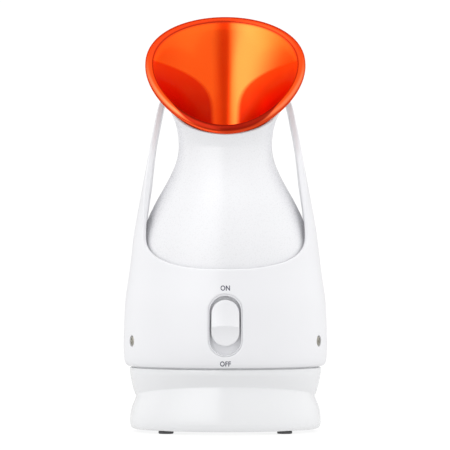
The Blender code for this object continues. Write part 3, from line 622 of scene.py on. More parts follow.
def inside_painted_reflections(node, height, x, y, z):
    """The inside of the horn, with painted reflections and shade: red lobes at its lower sides, a highlight
    band and a dark line at its back.
    """
    across = abs(x)
    # Painted reflections: the red petals where the horn's lower sides reflect each other, darker red deeper
    # down.
    spread = (z - PETAL_START).math("DIVIDE", PETAL_RISE).math("MAXIMUM").math("POWER", PETAL_POWER)
    reflection_petal = (across - spread * 0.0335 - 0.0075).rise(-0.002, 0.002) * y.rise(-0.028, -0.012)
    depth = z.rise(0.222, 0.182)
    red_side = mixed(node, depth, (0.78, 0.018, 0.0006), (0.46, 0.002, 0.0003))
    warm_side = mixed(node, depth, (0.88, 0.036, 0.001), (0.5, 0.011, 0.0004))
    petal_reflection_colour = mixed(node, x.rise(-0.004, 0.004), red_side, warm_side)

    # Painted shade: the horn's inside is darker further down.
    tint_with_painted_light = mixed(node, height, (0.85, 0.045, 0.002), (0.95, 0.105, 0.009))
    # A painted reflection: a lighter orange band at the upper left.
    left = x.rise(-0.002, -0.009) * z.rise(0.25, 0.2)
    tint_with_painted_light = mixed(node, left * 0.6, tint_with_painted_light, (0.95, 0.095, 0.007))
    # Painted shade towards the far sides.
    tint_with_painted_light = mixed(node, across.rise(0.022, 0.04) * 0.65, tint_with_painted_light, (0.86, 0.05, 0.003))
    # A painted highlight: a softbox's reflection, just right of the middle.
    painted_highlight_band = x.rise(0.0005, 0.0085) * x.rise(0.036, 0.011)
    tint_with_painted_light = mixed(node, painted_highlight_band * 0.75, tint_with_painted_light, (1, 0.235, 0.045))
    # A painted reflection: a dark line at the back, where the camera's side is reflected.
    line = x.rise(-0.0085, -0.001) * x.rise(0.0045, 0.0005) * y.rise(0, 0.012)
    return mixed(node, line, mixed(node, reflection_petal, tint_with_painted_light, petal_reflection_colour), (0.72, 0.028, 0.0005)), reflection_petal


def lip_colour(node, lip, z):
    """The lip: painted shade in dark red along its inside, widest at the bottom, with a painted highlight and
    a darker outer edge.
    """
    # Painted shade: a dark red band along the lip's inside, reaching furthest across it at the bottom and
    # darkest there.
    painted_shade_reach = z.rise(0.2, 0.178) * 0.46 + 0.1
    painted_shade_crimson = mixed(node, z.rise(0.2, 0.23), (0.24, 0.001, 0.002), (0.5, 0.015, 0.006))
    tint_with_painted_light = mixed(node, z.rise(0.2, 0.24), (0.84, 0.07, 0.012), (0.72, 0.04, 0.008))
    # A painted highlight on the lip's lower sides.
    painted_lip_highlight = abs(lip - 0.45).rise(0.16, 0) * z.rise(0.178, 0.19) * z.rise(0.225, 0.205)
    tint_with_painted_light = mixed(node, painted_lip_highlight * 0.6, tint_with_painted_light, (1, 0.3, 0.13))
    outline = abs(lip - 0.66).rise(0.14, 0.05)
    tint_with_painted_light = mixed(node, outline * 0.6, tint_with_painted_light, (0.5, 0.03, 0.012))
    return mixed(node, (lip - painted_shade_reach).rise(0.05, -0.05), tint_with_painted_light, painted_shade_crimson)


def amber_material():
    """Glossy amber, with painted reflections, highlights and shade where the real horn reflects itself and
    the studio. Distances here are in metres.
    """
    # The faint red emission is painted glow: the horn gives no light of its own.
    material, node, feed = new_material(
        "amber", metallic=0.96, specular_tint=(1, 0.35, 0.12, 1), coat_weight=0.04, coat_roughness=0.05,
        emission_color=(0.8, 0.02, 0, 1), emission_strength=0.08)
    height, lip = [node("Attribute", out="Fac", attribute_name=name) for name in ("horn_share", "lip_share")]
    x, y, z = parts_of(node, "Object")
    inside, reflection_petal = inside_painted_reflections(node, height, x, y, z)
    colour = mixed(node, lip.rise(-0.02, 0.01), inside, lip_colour(node, lip, z))
    colour = mixed(node, speckle(node, 90).ranged(0, 0.06), colour, (1, 0.3, 0.03))
    fine = speckle(node, 900)
    feed(base_color=mixed(node, node("LightPath", out="Is Diffuse Ray"), colour, (0.4, 0.34, 0.32)),
         roughness=reflection_petal * lip.rise(0.02, -0.02) * 0.18 + fine.ranged(0.15, 0.2),
         normal=bump(node, fine, 0.004, 0.4))
    return material


def board_material():
    """A green circuit board with lighter tracks under its lacquer."""
    material, node, feed = new_material("board_green", roughness=0.35)
    bricks = {"Vector": node("TexCoord", out="Object"), "Scale": 220, "Mortar Size": 0.035}
    bricks.update(Color1=(0.015, 0.12, 0.045, 1), Color2=(0.02, 0.15, 0.06, 1), Mortar=(0.09, 0.3, 0.12, 1))
    feed(base_color=node("TexBrick", bricks, out="Color"),
         normal=bump(node, node("TexBrick", bricks, out="Fac"), 0.03))
    return material


LOOKS = {"amber": amber_material(), "board_green": board_material()}
for look, colour, variation, roughness, relief, more in (
    ("shell_white", (0.86, 0.862, 0.885), 0.008, 0.3, 0.006, {"coat_weight": 0.25}),
    ("tower_white", (0.85, 0.852, 0.872), 0.008, 0.28, 0.006, {"coat_weight": 0.25}),
    ("base_white", (0.84, 0.846, 0.86), 0.01, 0.22, 0.004, {"coat_weight": 0.4}),
    ("trim_white", (0.85, 0.853, 0.875), 0.01, 0.26, 0.004, {"coat_weight": 0.3}),
    ("silicone", (0.8, 0.8, 0.77), 0.05, 0.55, 0.02, {"subsurface": 0.2}),
    ("foot_rubber", (0.07, 0.07, 0.072), 0.25, 0.75, 0.05, {"grain": 2500}),
    ("screw_steel", (0.4, 0.385, 0.34), 0.12, 0.32, 0.01, {"metallic": 1, "mottle": 300}),
    ("clamp_steel", (0.6, 0.6, 0.58), 0.1, 0.35, 0.01, {"metallic": 1, "stretch": ALONG_Y}),
    ("aluminium", (0.77, 0.78, 0.79), 0.06, 0.38, 0.01, {"metallic": 1, "stretch": ALONG_Z}),
    ("frame_plastic", (0.68, 0.68, 0.66), 0.04, 0.48, 0.02, {}),
    ("black_plastic", (0.022, 0.022, 0.024), 0.2, 0.42, 0.03, {}),
    ("fuse_ceramic", (0.72, 0.62, 0.44), 0.1, 0.45, 0.03, {}),
    ("terminal_white", (0.75, 0.75, 0.72), 0.04, 0.4, 0.02, {}),
    ("pin_brass", (0.72, 0.52, 0.22), 0.08, 0.28, 0.01, {"metallic": 1}),
    ("red_wire", (0.5, 0.025, 0.02), 0.1, 0.4, 0.01, {}),
    ("pale_wire", (0.7, 0.7, 0.67), 0.05, 0.4, 0.01, {}),
    ("legend_ink", (0.02, 0.02, 0.055), 0.1, 0.5, 0.01, {}),
    ("floor_pale", (0.94, 0.94, 0.945), 0.004, 0.8, 0.02, {}),
):
    LOOKS[look] = finish_material(look, colour, variation, roughness, relief, **more)


# ---- shell and handle loop


def opening_edge(opening, side):
    """Points along an opening's lower edge, by rising azimuth. Side is -1 at the front and 1 behind."""
    edge = []
    for i in range(opening["columns"] + 1):
        angle = pi * (i / opening["columns"])
        across = copysign(abs(cos(angle)) ** CUT_POWER, -cos(angle))
        x = opening["half_width"] * across
        z = WING_TOP - (WING_TOP - opening["bottom"]) * sin(angle) ** CUT_POWER
        edge.append(Vector((-side * x, side * sqrt(shell_radius(z) ** 2 - x**2), z)))
    return edge


def shell_normal(point):
    step = 0.5
    fall = (shell_radius(point.z - step) - shell_radius(point.z + step)) / (2 * step)
    return Vector((point.x, point.y, hypot(point.x, point.y) * fall)).normalized()


def onto_shell(point):
    return polar(shell_radius(point.z), atan2(point.x, -point.y), point.z)


def spaced(line, distances):
    """Points at distances along a line of closely spaced points."""
    places = distances_along(line)
    found = []
    for distance in distances:
        target = distance if distance >= 0 else places[-1] + distance
        i = 0
        while i < len(places) - 2 and places[i + 1] < target:
            i += 1
        share = (target - places[i]) / (places[i + 1] - places[i])
        found.append(line[i].lerp(line[i + 1], share))
    return found


def handle_line(x, z, side):
    """A level line across the loop, from its front edge to its rear edge."""
    front, rear = handle_front(z), handle_rear(z)
    flat = smoothstep((z - WING_TOP) / FLAT_RISE)
    centre = (front + rear) / 2 * flat
    line = []
    radius = shell_radius(min(z, HANDLE_ROUND_TOP))
    for i in range(HANDLE_LINE_STEPS + 1):
        y = front + (rear - front) * i / HANDLE_LINE_STEPS
        roundness = sqrt(1 - ((y - centre) / radius) ** 2)
        line.append(Vector((side * x * (roundness + (1 - roundness) * flat), y, z)))
    return line


def handle_spine():
    """(x, z) of the right side of the loop, from the wing to the crown."""
    spine = []
    for i in range(HANDLE_LOW_ROWS + 1):
        z = WING_TOP + (HANDLE_SHOULDER - WING_TOP) * i / HANDLE_LOW_ROWS
        spine.append((shell_radius(z), z))
    for i in range(1, HANDLE_ARCH_ROWS + 1):
        angle = pi / 2 * i / HANDLE_ARCH_ROWS
        rise = (HANDLE_CROWN - HANDLE_SHOULDER) * sin(angle) ** 0.9
        reach = shell_radius(HANDLE_SHOULDER) - HANDLE_SLOPE * rise
        spine.append((reach * abs(cos(angle)) ** 0.8, HANDLE_SHOULDER + rise))
    return spine


def handle_row(line, wide, lean_front, lean_rear):
    """The row of points of the loop on one line. The outer ones keep their distance from the edges."""
    width = distances_along(line)[-1]
    ease = min(1, width / wide)
    offsets = [EDGE_RADIUS + (offset - EDGE_RADIUS) * ease for offset in EDGE_OFFSETS[1:]]
    front, rear = [EDGE_RADIUS * lean_front] + offsets, [EDGE_RADIUS * lean_rear] + offsets
    inner = [front[-1] + (width - front[-1] - rear[-1]) * i / WING_STEPS for i in range(1, WING_STEPS)]
    return spaced(line, front + inner + [width - o for o in reversed(rear)])


def handle_rows():
    """Rows of points over the loop, from the right wing over the crown to the left wing."""
    spine = handle_spine()
    wide = distances_along(handle_line(*spine[0], 1))[-1]
    places = [(x, z, 1) for x, z in spine] + [(x, z, -1) for x, z in reversed(spine[:-1])]
    rows = []
    for i, (x, z, side) in enumerate(places):
        leans = []
        before, after = places[max(i - 1, 0)], places[min(i + 1, len(places) - 1)]
        run = hypot(after[0] * after[2] - before[0] * before[2], after[1] - before[1])
        for edge in (handle_front, handle_rear):
            leans.append(hypot(1, (edge(after[1]) - edge(before[1])) / run))
        rows.append(handle_row(handle_line(x, z, side), wide, *leans))
    return rows


def opening_band(edge):
    """Rows of points below an opening, at the edge offsets, without the corners that the loop gives them."""
    rows = []
    for offset in EDGE_OFFSETS:
        row = []
        for before, at, after in zip(edge, edge[1:], edge[2:]):
            away = (after - before).normalized().cross(shell_normal(at)).normalized()
            row.append(onto_shell(at + away * offset))
        rows.append(row)
    return rows


def shell_wall(point):
    """The shell's thickness: the loop is stouter than the body below it."""
    return SHELL_WALL + (HANDLE_WALL - SHELL_WALL) * smoothstep((point.z - WING_TOP) / HANDLE_WALL_RISE)


def add_loop_and_bands(skin):
    """The loop, and the bands of rows below the two openings. Gives the points along their lower edge."""
    loop = [skin.add(row) for row in handle_rows()]
    for lower, upper in zip(loop, loop[1:]):
        skin.bridge(lower, upper)
    right, left = loop[0], loop[-1]
    corners = len(EDGE_OFFSETS)
    chain = []
    for opening, side, start, end in ((FRONT_CUT, -1, left, right), (REAR_CUT, 1, right[::-1], left[::-1])):
        rows = opening_band(opening_edge(opening, side))
        lines = [[start[k]] + skin.add(row) + [end[k]] for k, row in enumerate(rows)]
        for upper, lower in zip(lines, lines[1:]):
            skin.bridge(lower, upper)
        chain += lines[-1] + end[corners:-corners]
    return chain


def add_body(skin, chain):
    """The round body under a closed chain of points, with the gap for the switch's well."""
    columns = len(chain)
    front = FRONT_CUT["columns"] // 2
    azimuths = [tau * (i - front) / columns for i in range(columns)]
    bottom = SHELL_BOTTOM + EDGE_RADIUS
    shares = [(i / BODY_ROWS) ** BODY_ROW_SPREAD for i in range(BODY_ROWS + 1)]
    heights = [bottom + (BODY_TOP - bottom) * share for share in shares]
    grid = [skin.add([polar(shell_radius(z), a, z) for a in azimuths]) for z in heights]
    first, final = front - WELL_WINDOW_COLUMNS, front + WELL_WINDOW_COLUMNS
    reach = WELL_OUTER[1] / 2 + WELL_WINDOW_MARGIN
    low = max(i for i, z in enumerate(heights) if z < WELL_OUTER_Z - reach)
    high = min(i for i, z in enumerate(heights) if z > WELL_OUTER_Z + reach)
    for r, (lower, upper) in enumerate(zip(grid, grid[1:])):
        if low <= r < high:
            skin.bridge(lower[final:] + lower[:first + 1], upper[final:] + upper[:first + 1])
        else:
            skin.bridge(lower, upper, closed=True)
    frame_of_hole = grid[low][first:final] + [grid[r][final] for r in range(low, high)]
    frame_of_hole += grid[high][final:first:-1] + [grid[r][first] for r in range(high, low, -1)]
    add_hole(skin, frame_of_hole)

    previous = grid[-1]
    tops = [skin.points[i] for i in chain]
    for row in range(1, BLEND_ROWS):
        share = row / BLEND_ROWS
        ring = []
        for azimuth, top in zip(azimuths, tops):
            top_azimuth = atan2(top.x, -top.y)
            turn = (top_azimuth - azimuth + pi) % tau - pi
            z = BODY_TOP + (top.z - BODY_TOP) * share
            ring.append(polar(shell_radius(z), azimuth + turn * smoothstep(share), z))
        current = skin.add(ring)
        skin.bridge(previous, current, closed=True)
        previous = current
    skin.bridge(previous, chain, closed=True)


def screw_seat(degrees):
    """The place of a shell screw's seat, and the way out from the axis there."""
    azimuth = radians(degrees)
    return polar(SCREW_SEAT, azimuth, SCREW_Z), polar(1, azimuth, 0)


def make_shell():
    skin = Skin()
    add_body(skin, add_loop_and_bands(skin))
    shell = add_mesh("shell", *skin.thicken(shell_wall))
    cutters = []
    profile = [(1.7, -4), (1.7, -0.1), (3.3, -0.1), (3.3, 0.95), (4.3, 2)]
    for name, degrees in SCREW_AZIMUTHS.items():
        seat, out = screw_seat(degrees)
        cutters.append(turned("screw_hole_" + name, profile, 40, seat, out))
    carve(shell, cutters)
    piece(shell, "main_shell")


def add_hole(skin, outer):
    """Fills a gap in the sheet's grid with rings that close in on the well's opening."""
    grow = 2 * (WELL_CLEARANCE + EDGE_RADIUS)
    size = (WELL_OUTER[0] + grow, WELL_OUTER[1] + grow)
    outside = [(skin.points[i].x, skin.points[i].z) for i in outer]
    inside = []
    for x, z in outside:
        angle = atan2(z - WELL_OUTER_Z, x)
        reach = slot_reach(size, angle)
        inside.append((reach * cos(angle), WELL_OUTER_Z + reach * sin(angle)))
    previous = outer
    for k in range(1, WELL_RINGS + 1):
        share = 1 - (1 - k / WELL_RINGS) ** 1.5
        current = skin.add(front_ring(between(outside, inside, share)))
        skin.bridge(previous, current, closed=True)
        previous = current


# ---- horn and tower


def rim_point(azimuth, share, lift=0):
    """A point of the rim's plane, lifted off it. Share is 1 on the rim's outer edge and 0 at its centre."""
    back = -cos(azimuth)
    x = RIM_HALF_WIDTH * sin(azimuth) * (1 + RIM_EGG * back)
    return RIM_CENTRE + Vector((x, RIM_HALF_DEPTH * back, RIM_HALF_DEPTH * back)) * share + RIM_NORMAL * lift


def horn_inner_point(share, azimuth):
    """A point of the horn's inner face. Share runs from 0 at the throat to 1 at the rim."""
    throat, rim = polar(THROAT_RADIUS, azimuth, THROAT_Z), rim_point(azimuth, RIM_INNER_SHARE)
    point = throat.lerp(rim, share**FLARE_POWER)
    point.z = throat.z + (rim.z - throat.z) * share
    return point


def horn_along(share, azimuth):
    low, high = max(share - HORN_NUDGE, 0), share + HORN_NUDGE
    return (horn_inner_point(high, azimuth) - horn_inner_point(low, azimuth)).normalized()


def horn_point(share, azimuth, outward):
    """A point at a distance outside the horn's inner face."""
    around = horn_inner_point(share, azimuth + HORN_NUDGE) - horn_inner_point(share, azimuth - HORN_NUDGE)
    return horn_inner_point(share, azimuth) + around.cross(horn_along(share, azimuth)).normalized() * outward


def horn_column(azimuth):
    steps = [i / HORN_STEPS for i in range(HORN_STEPS + 1)]
    inner = [polar(THROAT_RADIUS, azimuth, z) for z in SKIRT_HEIGHTS]
    inner += [horn_inner_point(HORN_INNER_END * step, azimuth) for step in steps]
    lip = [rim_point(azimuth, share, lift) - Vector((0, 0, fall)) for share, lift, fall in LIP]
    lip = smooth_path(lip, LIP_STEPS)
    outer = [horn_point(HORN_OUTER_END * step, azimuth, HORN_WALL) for step in reversed(steps)]
    outer += [polar(THROAT_RADIUS + HORN_WALL, azimuth, z) for z in reversed(SKIRT_HEIGHTS)]
    ends = [(THROAT_RADIUS + HORN_WALL - 0.4, SKIRT_BOTTOM), (THROAT_RADIUS + 0.4, SKIRT_BOTTOM)]
    return inner + lip + outer + [polar(radius, azimuth, z) for radius, z in ends]


def make_nozzle():
    """The horn and its fittings. The horn's material reads the place along its height and across its lip."""
    cup = from_columns("amber_horn", horn_column)
    height = cup.data.attributes.new("horn_share", "FLOAT", "POINT")
    across = cup.data.attributes.new("lip_share", "FLOAT", "POINT")
    top = box_mm("nozzle_cup")[1].z
    first = len(SKIRT_HEIGHTS) + HORN_STEPS + 1
    for i, vert in enumerate(cup.data.vertices):
        height.data[i].value = min(max((vert.co.z / MM - THROAT_Z) / (top - THROAT_Z), 0), 1)
        across.data[i].value = (i // SIDES - first) / ((len(LIP) - 1) * LIP_STEPS)
    piece(cup, "nozzle_cup")

    low, high = box_mm("splash_guard")
    radius = high.x
    profile = [(radius - 0.4, low.z), (radius, low.z + 0.4), (radius, high.z - 0.4), (radius - 0.4, high.z)]
    guard = turned("splash_disc", profile, 96)
    hole = [(4.9, low.z - 0.5), (4.6, low.z + 0.3), (4.6, high.z - 0.3)]
    hole += [(5, high.z + 0.1), (5, high.z + 1)]
    cutters = []
    for i in range(GUARD_HOLES):
        at = polar(GUARD_PITCH_RADIUS, tau * (i + 0.5) / GUARD_HOLES, 0)
        cutters.append(turned(f"guard_hole_{i}", hole, 48, at))
    carve(guard, cutters)
    piece(guard, "splash_guard")

    low, high = box_mm("nozzle_seal")
    inner, outer = high.x - 0.6, high.x
    profile = [(inner, low.z), (outer - 0.2, low.z + 0.1), (outer, low.z + 0.5),
               (outer - 0.25, middle(low, high)[2]),
               (outer, high.z - 0.5), (outer - 0.2, high.z - 0.1), (inner, high.z)]
    piece(turned("throat_seal", profile, 96, ends="joined"), "nozzle_seal")


def tower_column(azimuth):
    inner_gap = HORN_WALL + HORN_GAP
    outer_gap = inner_gap + TOWER_WALL
    rounding = MOUTH_SHARE + MOUTH_TILT * cos(azimuth) - MOUTH_ROUNDING
    shares = [rounding * i / 4 for i in range(1, 5)]
    outer = [polar(radius, azimuth, z) for radius, z in TOWER_PROFILE]
    outer = smooth_path(outer + [horn_point(share, azimuth, outer_gap) for share in shares], 4)
    inner = [horn_point(share, azimuth, inner_gap) for share in reversed(shares)]
    inner += [polar(radius, azimuth, z) for radius, z in TOWER_INNER_PROFILE]
    inner = smooth_path(inner[:6], 4)[:-1] + smooth_path(inner[5:], 4)
    centre, across = (outer[-1] + inner[0]) / 2, (outer[-1] - inner[0]) / 2
    along = horn_along(rounding, azimuth) * across.length
    turns = [pi * i / MOUTH_STEPS for i in range(1, MOUTH_STEPS)]
    lip = [centre + across * cos(turn) + along * sin(turn) for turn in turns]
    return outer + lip + inner


def make_tower():
    tower = from_columns("vase_tower", tower_column)
    carve(tower, [prism("switch_pocket", POCKET, POCKET_HEIGHTS)])
    piece(tower, "steam_tower")


# ---- base


def base_column(azimuth):
    crease = CREASE_Z + CREASE_RISE * cos(azimuth)
    foot_mid = (7 + crease) / 2
    band_mid = crease + 0.55 * (BAND_TOP - crease)
    lower = [(54.2, BASE_BOTTOM), (55.1, 2.2), (55.8, 3.3), (56.25, 5.2), (56.3, 7.4), (55.35, foot_mid)]
    waist = [(53.35, crease - 1.9), (52.9, crease - 0.6), (52.8, crease), (52.95, crease + 0.5)]
    upper = [(53.45, crease + 1.7), (BAND_RADIUS - 0.85, band_mid), (BAND_RADIUS - 0.08, BAND_TOP - 3)]
    shoulder, brink = BAND_RADIUS - BAND_EDGE, BAND_TOP - BAND_EDGE
    upper.append((BAND_RADIUS, brink))
    outside = [(p.x, p.y) for p in smooth_path([(r, z, 0) for r, z in lower + waist + upper], 4)]
    for turn in [radians(15 + 75 * i / 4) for i in range(5)]:
        outside.append((shoulder + BAND_EDGE * cos(turn), brink + BAND_EDGE * sin(turn)))
    outside += [(COLLAR_RADIUS + 0.2, BAND_TOP), (COLLAR_RADIUS, BAND_TOP + 0.2)]
    outside += [(COLLAR_RADIUS, COLLAR_TOP - 0.5), (COLLAR_RADIUS - 0.5, COLLAR_TOP)]
    inside = [
        (COLLAR_RADIUS - BASE_WALL, COLLAR_TOP),
        (COLLAR_RADIUS - BASE_WALL, BAND_TOP - 2),
        (CREASE_RADIUS - BASE_WALL, crease),
        (52.6, 6),
        (52.6, 2.2),
        (53, BASE_BOTTOM),
    ]
    return [polar(radius, azimuth, z) for radius, z in outside + inside]


def foot_place(name):
    x, y, _ = middle(*box_mm("foot_" + name))
    return x, y, 0


def level_slot(width, height, centre_z, y):
    """A ring of points round a slot that lies on its side, at a place along Y."""
    return [Vector((x, y, centre_z - z)) for z, x in slot_outline((height, width), 0, 64)]


def make_base():
    base = from_columns("base_body", base_column)
    low, high = box_mm("power_inlet")
    size = (high.x - low.x + 0.6, high.z - low.z + 0.6)
    opening = loft("inlet_opening", [level_slot(*size, middle(low, high)[2], y) for y in (45, 62)])
    carve(base, [opening, prism("collar_pocket", POCKET, POCKET_HEIGHTS)])
    piece(base, "base_housing")


def make_feet():
    for name in CORNERS:
        low, high = box_mm("foot_" + name)
        radius = (high.x - low.x) / 2
        profile = [(radius * 0.55, 0), (radius * 0.6, 0.35), (radius * 0.66, 0.35), (radius * 0.71, 0)]
        profile += [(radius - 0.5, 0), (radius - 0.15, 0.15), (radius, 0.5), (radius, 1.3)]
        profile += [(radius - 0.3, 1.6), (1.6, 1.6), (1.6, 3.7), (1.3, 4)]
        piece(turned("rubber_foot_" + name, profile, 48, foot_place(name)), "foot_" + name)


def make_plate():
    """The base plate, with its screw sinks, vents and the standoffs for the board."""
    low, high = box_mm("base_plate")
    radius, top = high.x, 4.3
    profile = [(radius - 0.5, low.z), (radius, low.z + 0.5), (radius, top - 0.3), (radius - 0.3, top)]
    plate = turned("bottom_plate", profile, SIDES)
    standoff = [(3.4, top - 0.5), (3, top + 1), (3, 10.4), (2.7, 10.7)]
    standoff_hole = [(1.7, top + 0.5), (1.7, 12)]
    sink = [(3.9, 1), (3.9, low.z), (3.3, low.z + 0.35), (3.3, low.z + 0.9), (1.7, low.z + 0.9), (1.7, 6)]
    standoffs, cutters = [], []
    for i, (x, y) in enumerate(BOARD_POSTS):
        standoffs.append(turned(f"standoff_{i}", standoff, 32, (x, y, 0)))
        cutters.append(turned(f"standoff_hole_{i}", standoff_hole, 24, (x, y, 0)))
    carve(plate, standoffs, "UNION")
    for name, degrees in POST_AZIMUTHS.items():
        at = polar(POST_PITCH_RADIUS, radians(degrees), 0)
        cutters.append(turned("plate_sink_" + name, sink, 40, at))
    for name in CORNERS:
        cutters.append(turned("foot_hole_" + name, [(1.9, 1), (1.9, 6)], 24, foot_place(name)))
    for i, y in enumerate((-8, 0, 8)):
        rings = []
        for z, grow in ((1, 0.4), (low.z, 0.4), (low.z + 0.4, 0), (6, 0)):
            outline = slot_outline((2.4 + 2 * grow, 28 + 2 * grow), 0, 32)
            rings.append([Vector((b, y + a, z)) for a, b in outline])
        cutters.append(loft(f"vent_{i}", rings))
    carve(plate, cutters)
    piece(plate, "base_plate")


def make_screw(name, node, seat, direction, length):
    """A pan-head screw: its head stands on seat, and its threaded shank runs along direction."""
    profile = [(0.3, length), (THREAD_ROOT, length - 0.8)]
    for i in range(int((length - 1.2) / THREAD_PITCH)):
        z = length - 1 - THREAD_PITCH * i
        profile += [(THREAD_ROOT, z), (SHANK_RADIUS, z - 0.25)]
        profile += [(SHANK_RADIUS, z - 0.35), (THREAD_ROOT, z - 0.6)]
    profile += [(THREAD_ROOT, 0.3), (SHANK_RADIUS, 0), (HEAD_RADIUS - 0.2, 0), (HEAD_RADIUS, -0.2)]
    profile += [(HEAD_RADIUS - 0.05, -0.5), (HEAD_RADIUS - 0.45, -0.95), (HEAD_RADIUS - 1.1, -1.22)]
    profile.append((1, -HEAD_HEIGHT))
    body = turned(name, profile[::-1], 40)
    rings = []
    for depth, reach, half in ((-0.4, 1.75, 0.42), (0.25, 1.5, 0.36), (0.75, 0.9, 0.26)):
        z = depth - HEAD_HEIGHT
        ring = []
        for quarter in range(4):
            turn = Matrix.Rotation(pi / 2 * quarter, 3, "Z")
            for x, y in ((reach, -half), (reach, half), (half, half)):
                ring.append(turn @ Vector((x, y, z)))
        rings.append(ring)
    carve(body, [loft(name + "_recess", rings)])
    place(body, seat, direction)
    piece(body, node)


def make_screws():
    for name, degrees in SCREW_AZIMUTHS.items():
        seat, out = screw_seat(degrees)
        make_screw("side_screw_" + name, "shell_screw_" + name, seat, -out, 9)
    for name, degrees in POST_AZIMUTHS.items():
        seat = polar(POST_PITCH_RADIUS, radians(degrees), 2.9)
        make_screw("bottom_screw_" + name, "base_screw_" + name, seat, (0, 0, 1), 10)


# ---- switch and lettering


def make_well():
    count = 96
    outer = slot_outline(WELL_OUTER, WELL_OUTER_Z, count)
    inner = slot_outline(WELL_INNER, WELL_INNER_Z, count)
    stem = slot_outline(STEM_SLOT, WELL_INNER_Z, count)
    rings = [upright_ring(outer, WELL_BACK)]
    for share, depth in ((0, 1), (0, 0.45), (0.06, 0.24), (0.18, 0.12), (0.35, 0.14), (0.55, 0.3),
                         (0.75, 0.62), (0.9, 1.05), (1, 1.6)):
        rings.append(front_ring(between(outer, inner, share), depth))
    for share, depth in ((0, 3.2), (0, 4.3), (0.025, 4.8), (0.09, WELL_FLOOR_DEPTH),
                         (0.3, WELL_FLOOR_DEPTH), (0.6, WELL_FLOOR_DEPTH), (1, WELL_FLOOR_DEPTH)):
        rings.append(front_ring(between(inner, stem, share), depth))
    rings.append(upright_ring(stem, WELL_BACK))
    piece(loft("switch_well", rings, ends="joined"), "switch_bezel")


def ridge_height(x, z):
    """How far the button's front stands out of the shell's surface."""
    half_width, half_height = BUTTON_SIZE[0] / 2, BUTTON_SIZE[1] / 2
    ridge = BUTTON_Z - RIDGE_RISE - 0.9 * (x / half_width) ** 2
    if z > ridge:
        away = (z - ridge) / (BUTTON_Z + half_height - ridge)
        return RIDGE_RISE - 2.1 * (1 - (1 - away) ** 2.2)
    away = (ridge - z) / (ridge - BUTTON_Z + half_height)
    return RIDGE_RISE - 1.9 * (1 - (1 - away) ** 3)


def make_button():
    outline = slot_outline(BUTTON_SIZE, BUTTON_Z, 200)
    half_width = BUTTON_SIZE[0] / 2
    rings = [upright_ring(outline, BUTTON_BACK)]
    turns = [pi / 2 * i / 4 for i in range(5)]
    steps = [(BUTTON_EDGE * (1 - cos(turn)), BUTTON_EDGE * (1 - sin(turn))) for turn in turns]
    for i in range(1, BUTTON_RINGS + 1):
        steps.append((BUTTON_EDGE + (half_width - BUTTON_EDGE) * i / BUTTON_RINGS, 0))
    straight = BUTTON_SIZE[1] / 2 - half_width
    for inset, drop in steps:
        ring = []
        for x, z in outline:
            centre = BUTTON_Z + min(max(z - BUTTON_Z, -straight), straight)
            scale = 1 - inset / half_width
            inner_x, inner_z = x * scale, centre + (z - centre) * scale
            ring.append(on_front(inner_x, inner_z, drop - ridge_height(inner_x, inner_z)))
        rings.append(ring)
    button = loft("slide_button", rings, ends="closing")
    section = [(x, BUTTON_Z + z) for x, z in ((-2, -2.5), (2, -2.5), (2, 2.5), (-2, 2.5))]
    stem = [upright_ring(section, y) for y in (BUTTON_BACK - 0.6, BUTTON_HIGH.y)]
    carve(button, [loft("button_stem", stem)], "UNION")
    piece(button, "power_button")


def make_legend(name, text, centre_z):
    """Generic lettering, printed on the shell."""
    curve = bpy.data.curves.new(name + "_curve", "FONT")
    curve.body = text
    curve.size = LEGEND_SIZE * MM
    curve.align_x = "CENTER"
    curve.offset = 0.06 * MM
    curve.extrude = 0.03 * MM
    curve.resolution_u = 6
    curve.space_character = 1.05
    helper = add_object(name + "_curve", curve)
    mesh = evaluated_mesh(helper)
    bpy.data.objects.remove(helper)
    low, high = min(v.co.y for v in mesh.vertices), max(v.co.y for v in mesh.vertices)
    sliced = bmesh.new()
    sliced.from_mesh(mesh)
    for i in range(1, LEGEND_SLICES):
        parts = sliced.verts[:] + sliced.edges[:] + sliced.faces[:]
        level = (0, low + (high - low) * i / LEGEND_SLICES, 0)
        bmesh.ops.bisect_plane(sliced, geom=parts, dist=1e-7, plane_co=level, plane_no=(0, 1, 0))
    sliced.to_mesh(mesh)
    sliced.free()
    for vert in mesh.vertices:
        x, z = LEGEND_WIDTH * vert.co.x / MM, centre_z + (vert.co.y - (low + high) / 2) / MM
        vert.co = on_front(x, z, -0.02 - vert.co.z / MM) * MM
    legend = add_object(name, mesh)
    dress(legend, "legend_ink")
    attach(legend, "steamer")


def make_inlet():
    low, high = box_mm("power_inlet")
    centre = middle(low, high)[2]
    width, height = high.x - low.x, high.z - low.z
    floor = low.y + 5
    rings = []
    lip = [(0, high.y - 0.5), (0.15, high.y - 0.15), (0.5, high.y)]
    for shrink, y in [(0.6, low.y), (0, low.y + 0.6)] + lip:
        rings.append(level_slot(width - 2 * shrink, height - 2 * shrink, centre, y))
    for grow, y in lip[::-1] + [(0, floor + 0.5), (-0.5, floor)]:
        rings.append(level_slot(SOCKET_SIZE[0] + 2 * grow, SOCKET_SIZE[1] + 2 * grow, centre, y))
    piece(loft("lead_socket", rings), "power_inlet")
    for name in ("left", "right"):
        start, end = box_mm("inlet_pin_" + name)
        radius = (end.x - start.x) / 2
        length = end.y - start.y
        profile = [(radius, 0), (radius, length - 1.2), (radius * 0.85, length - 0.6)]
        profile += [(radius * 0.45, length - 0.08), (radius * 0.2, length)]
        x, _, z = middle(start, end)
        piece(turned("socket_pin_" + name, profile, 32, (x, start.y, z), (0, 1, 0)), "inlet_pin_" + name)


# ---- carried-over nodes


def dress_nodes():
    """Gives every CAD node that still shows the procedural finish of its slot in the record."""
    for name, node in frame["nodes"].items():
        if not node.hide_render:
            dress(node, SLOTS[name])


# ---- studio


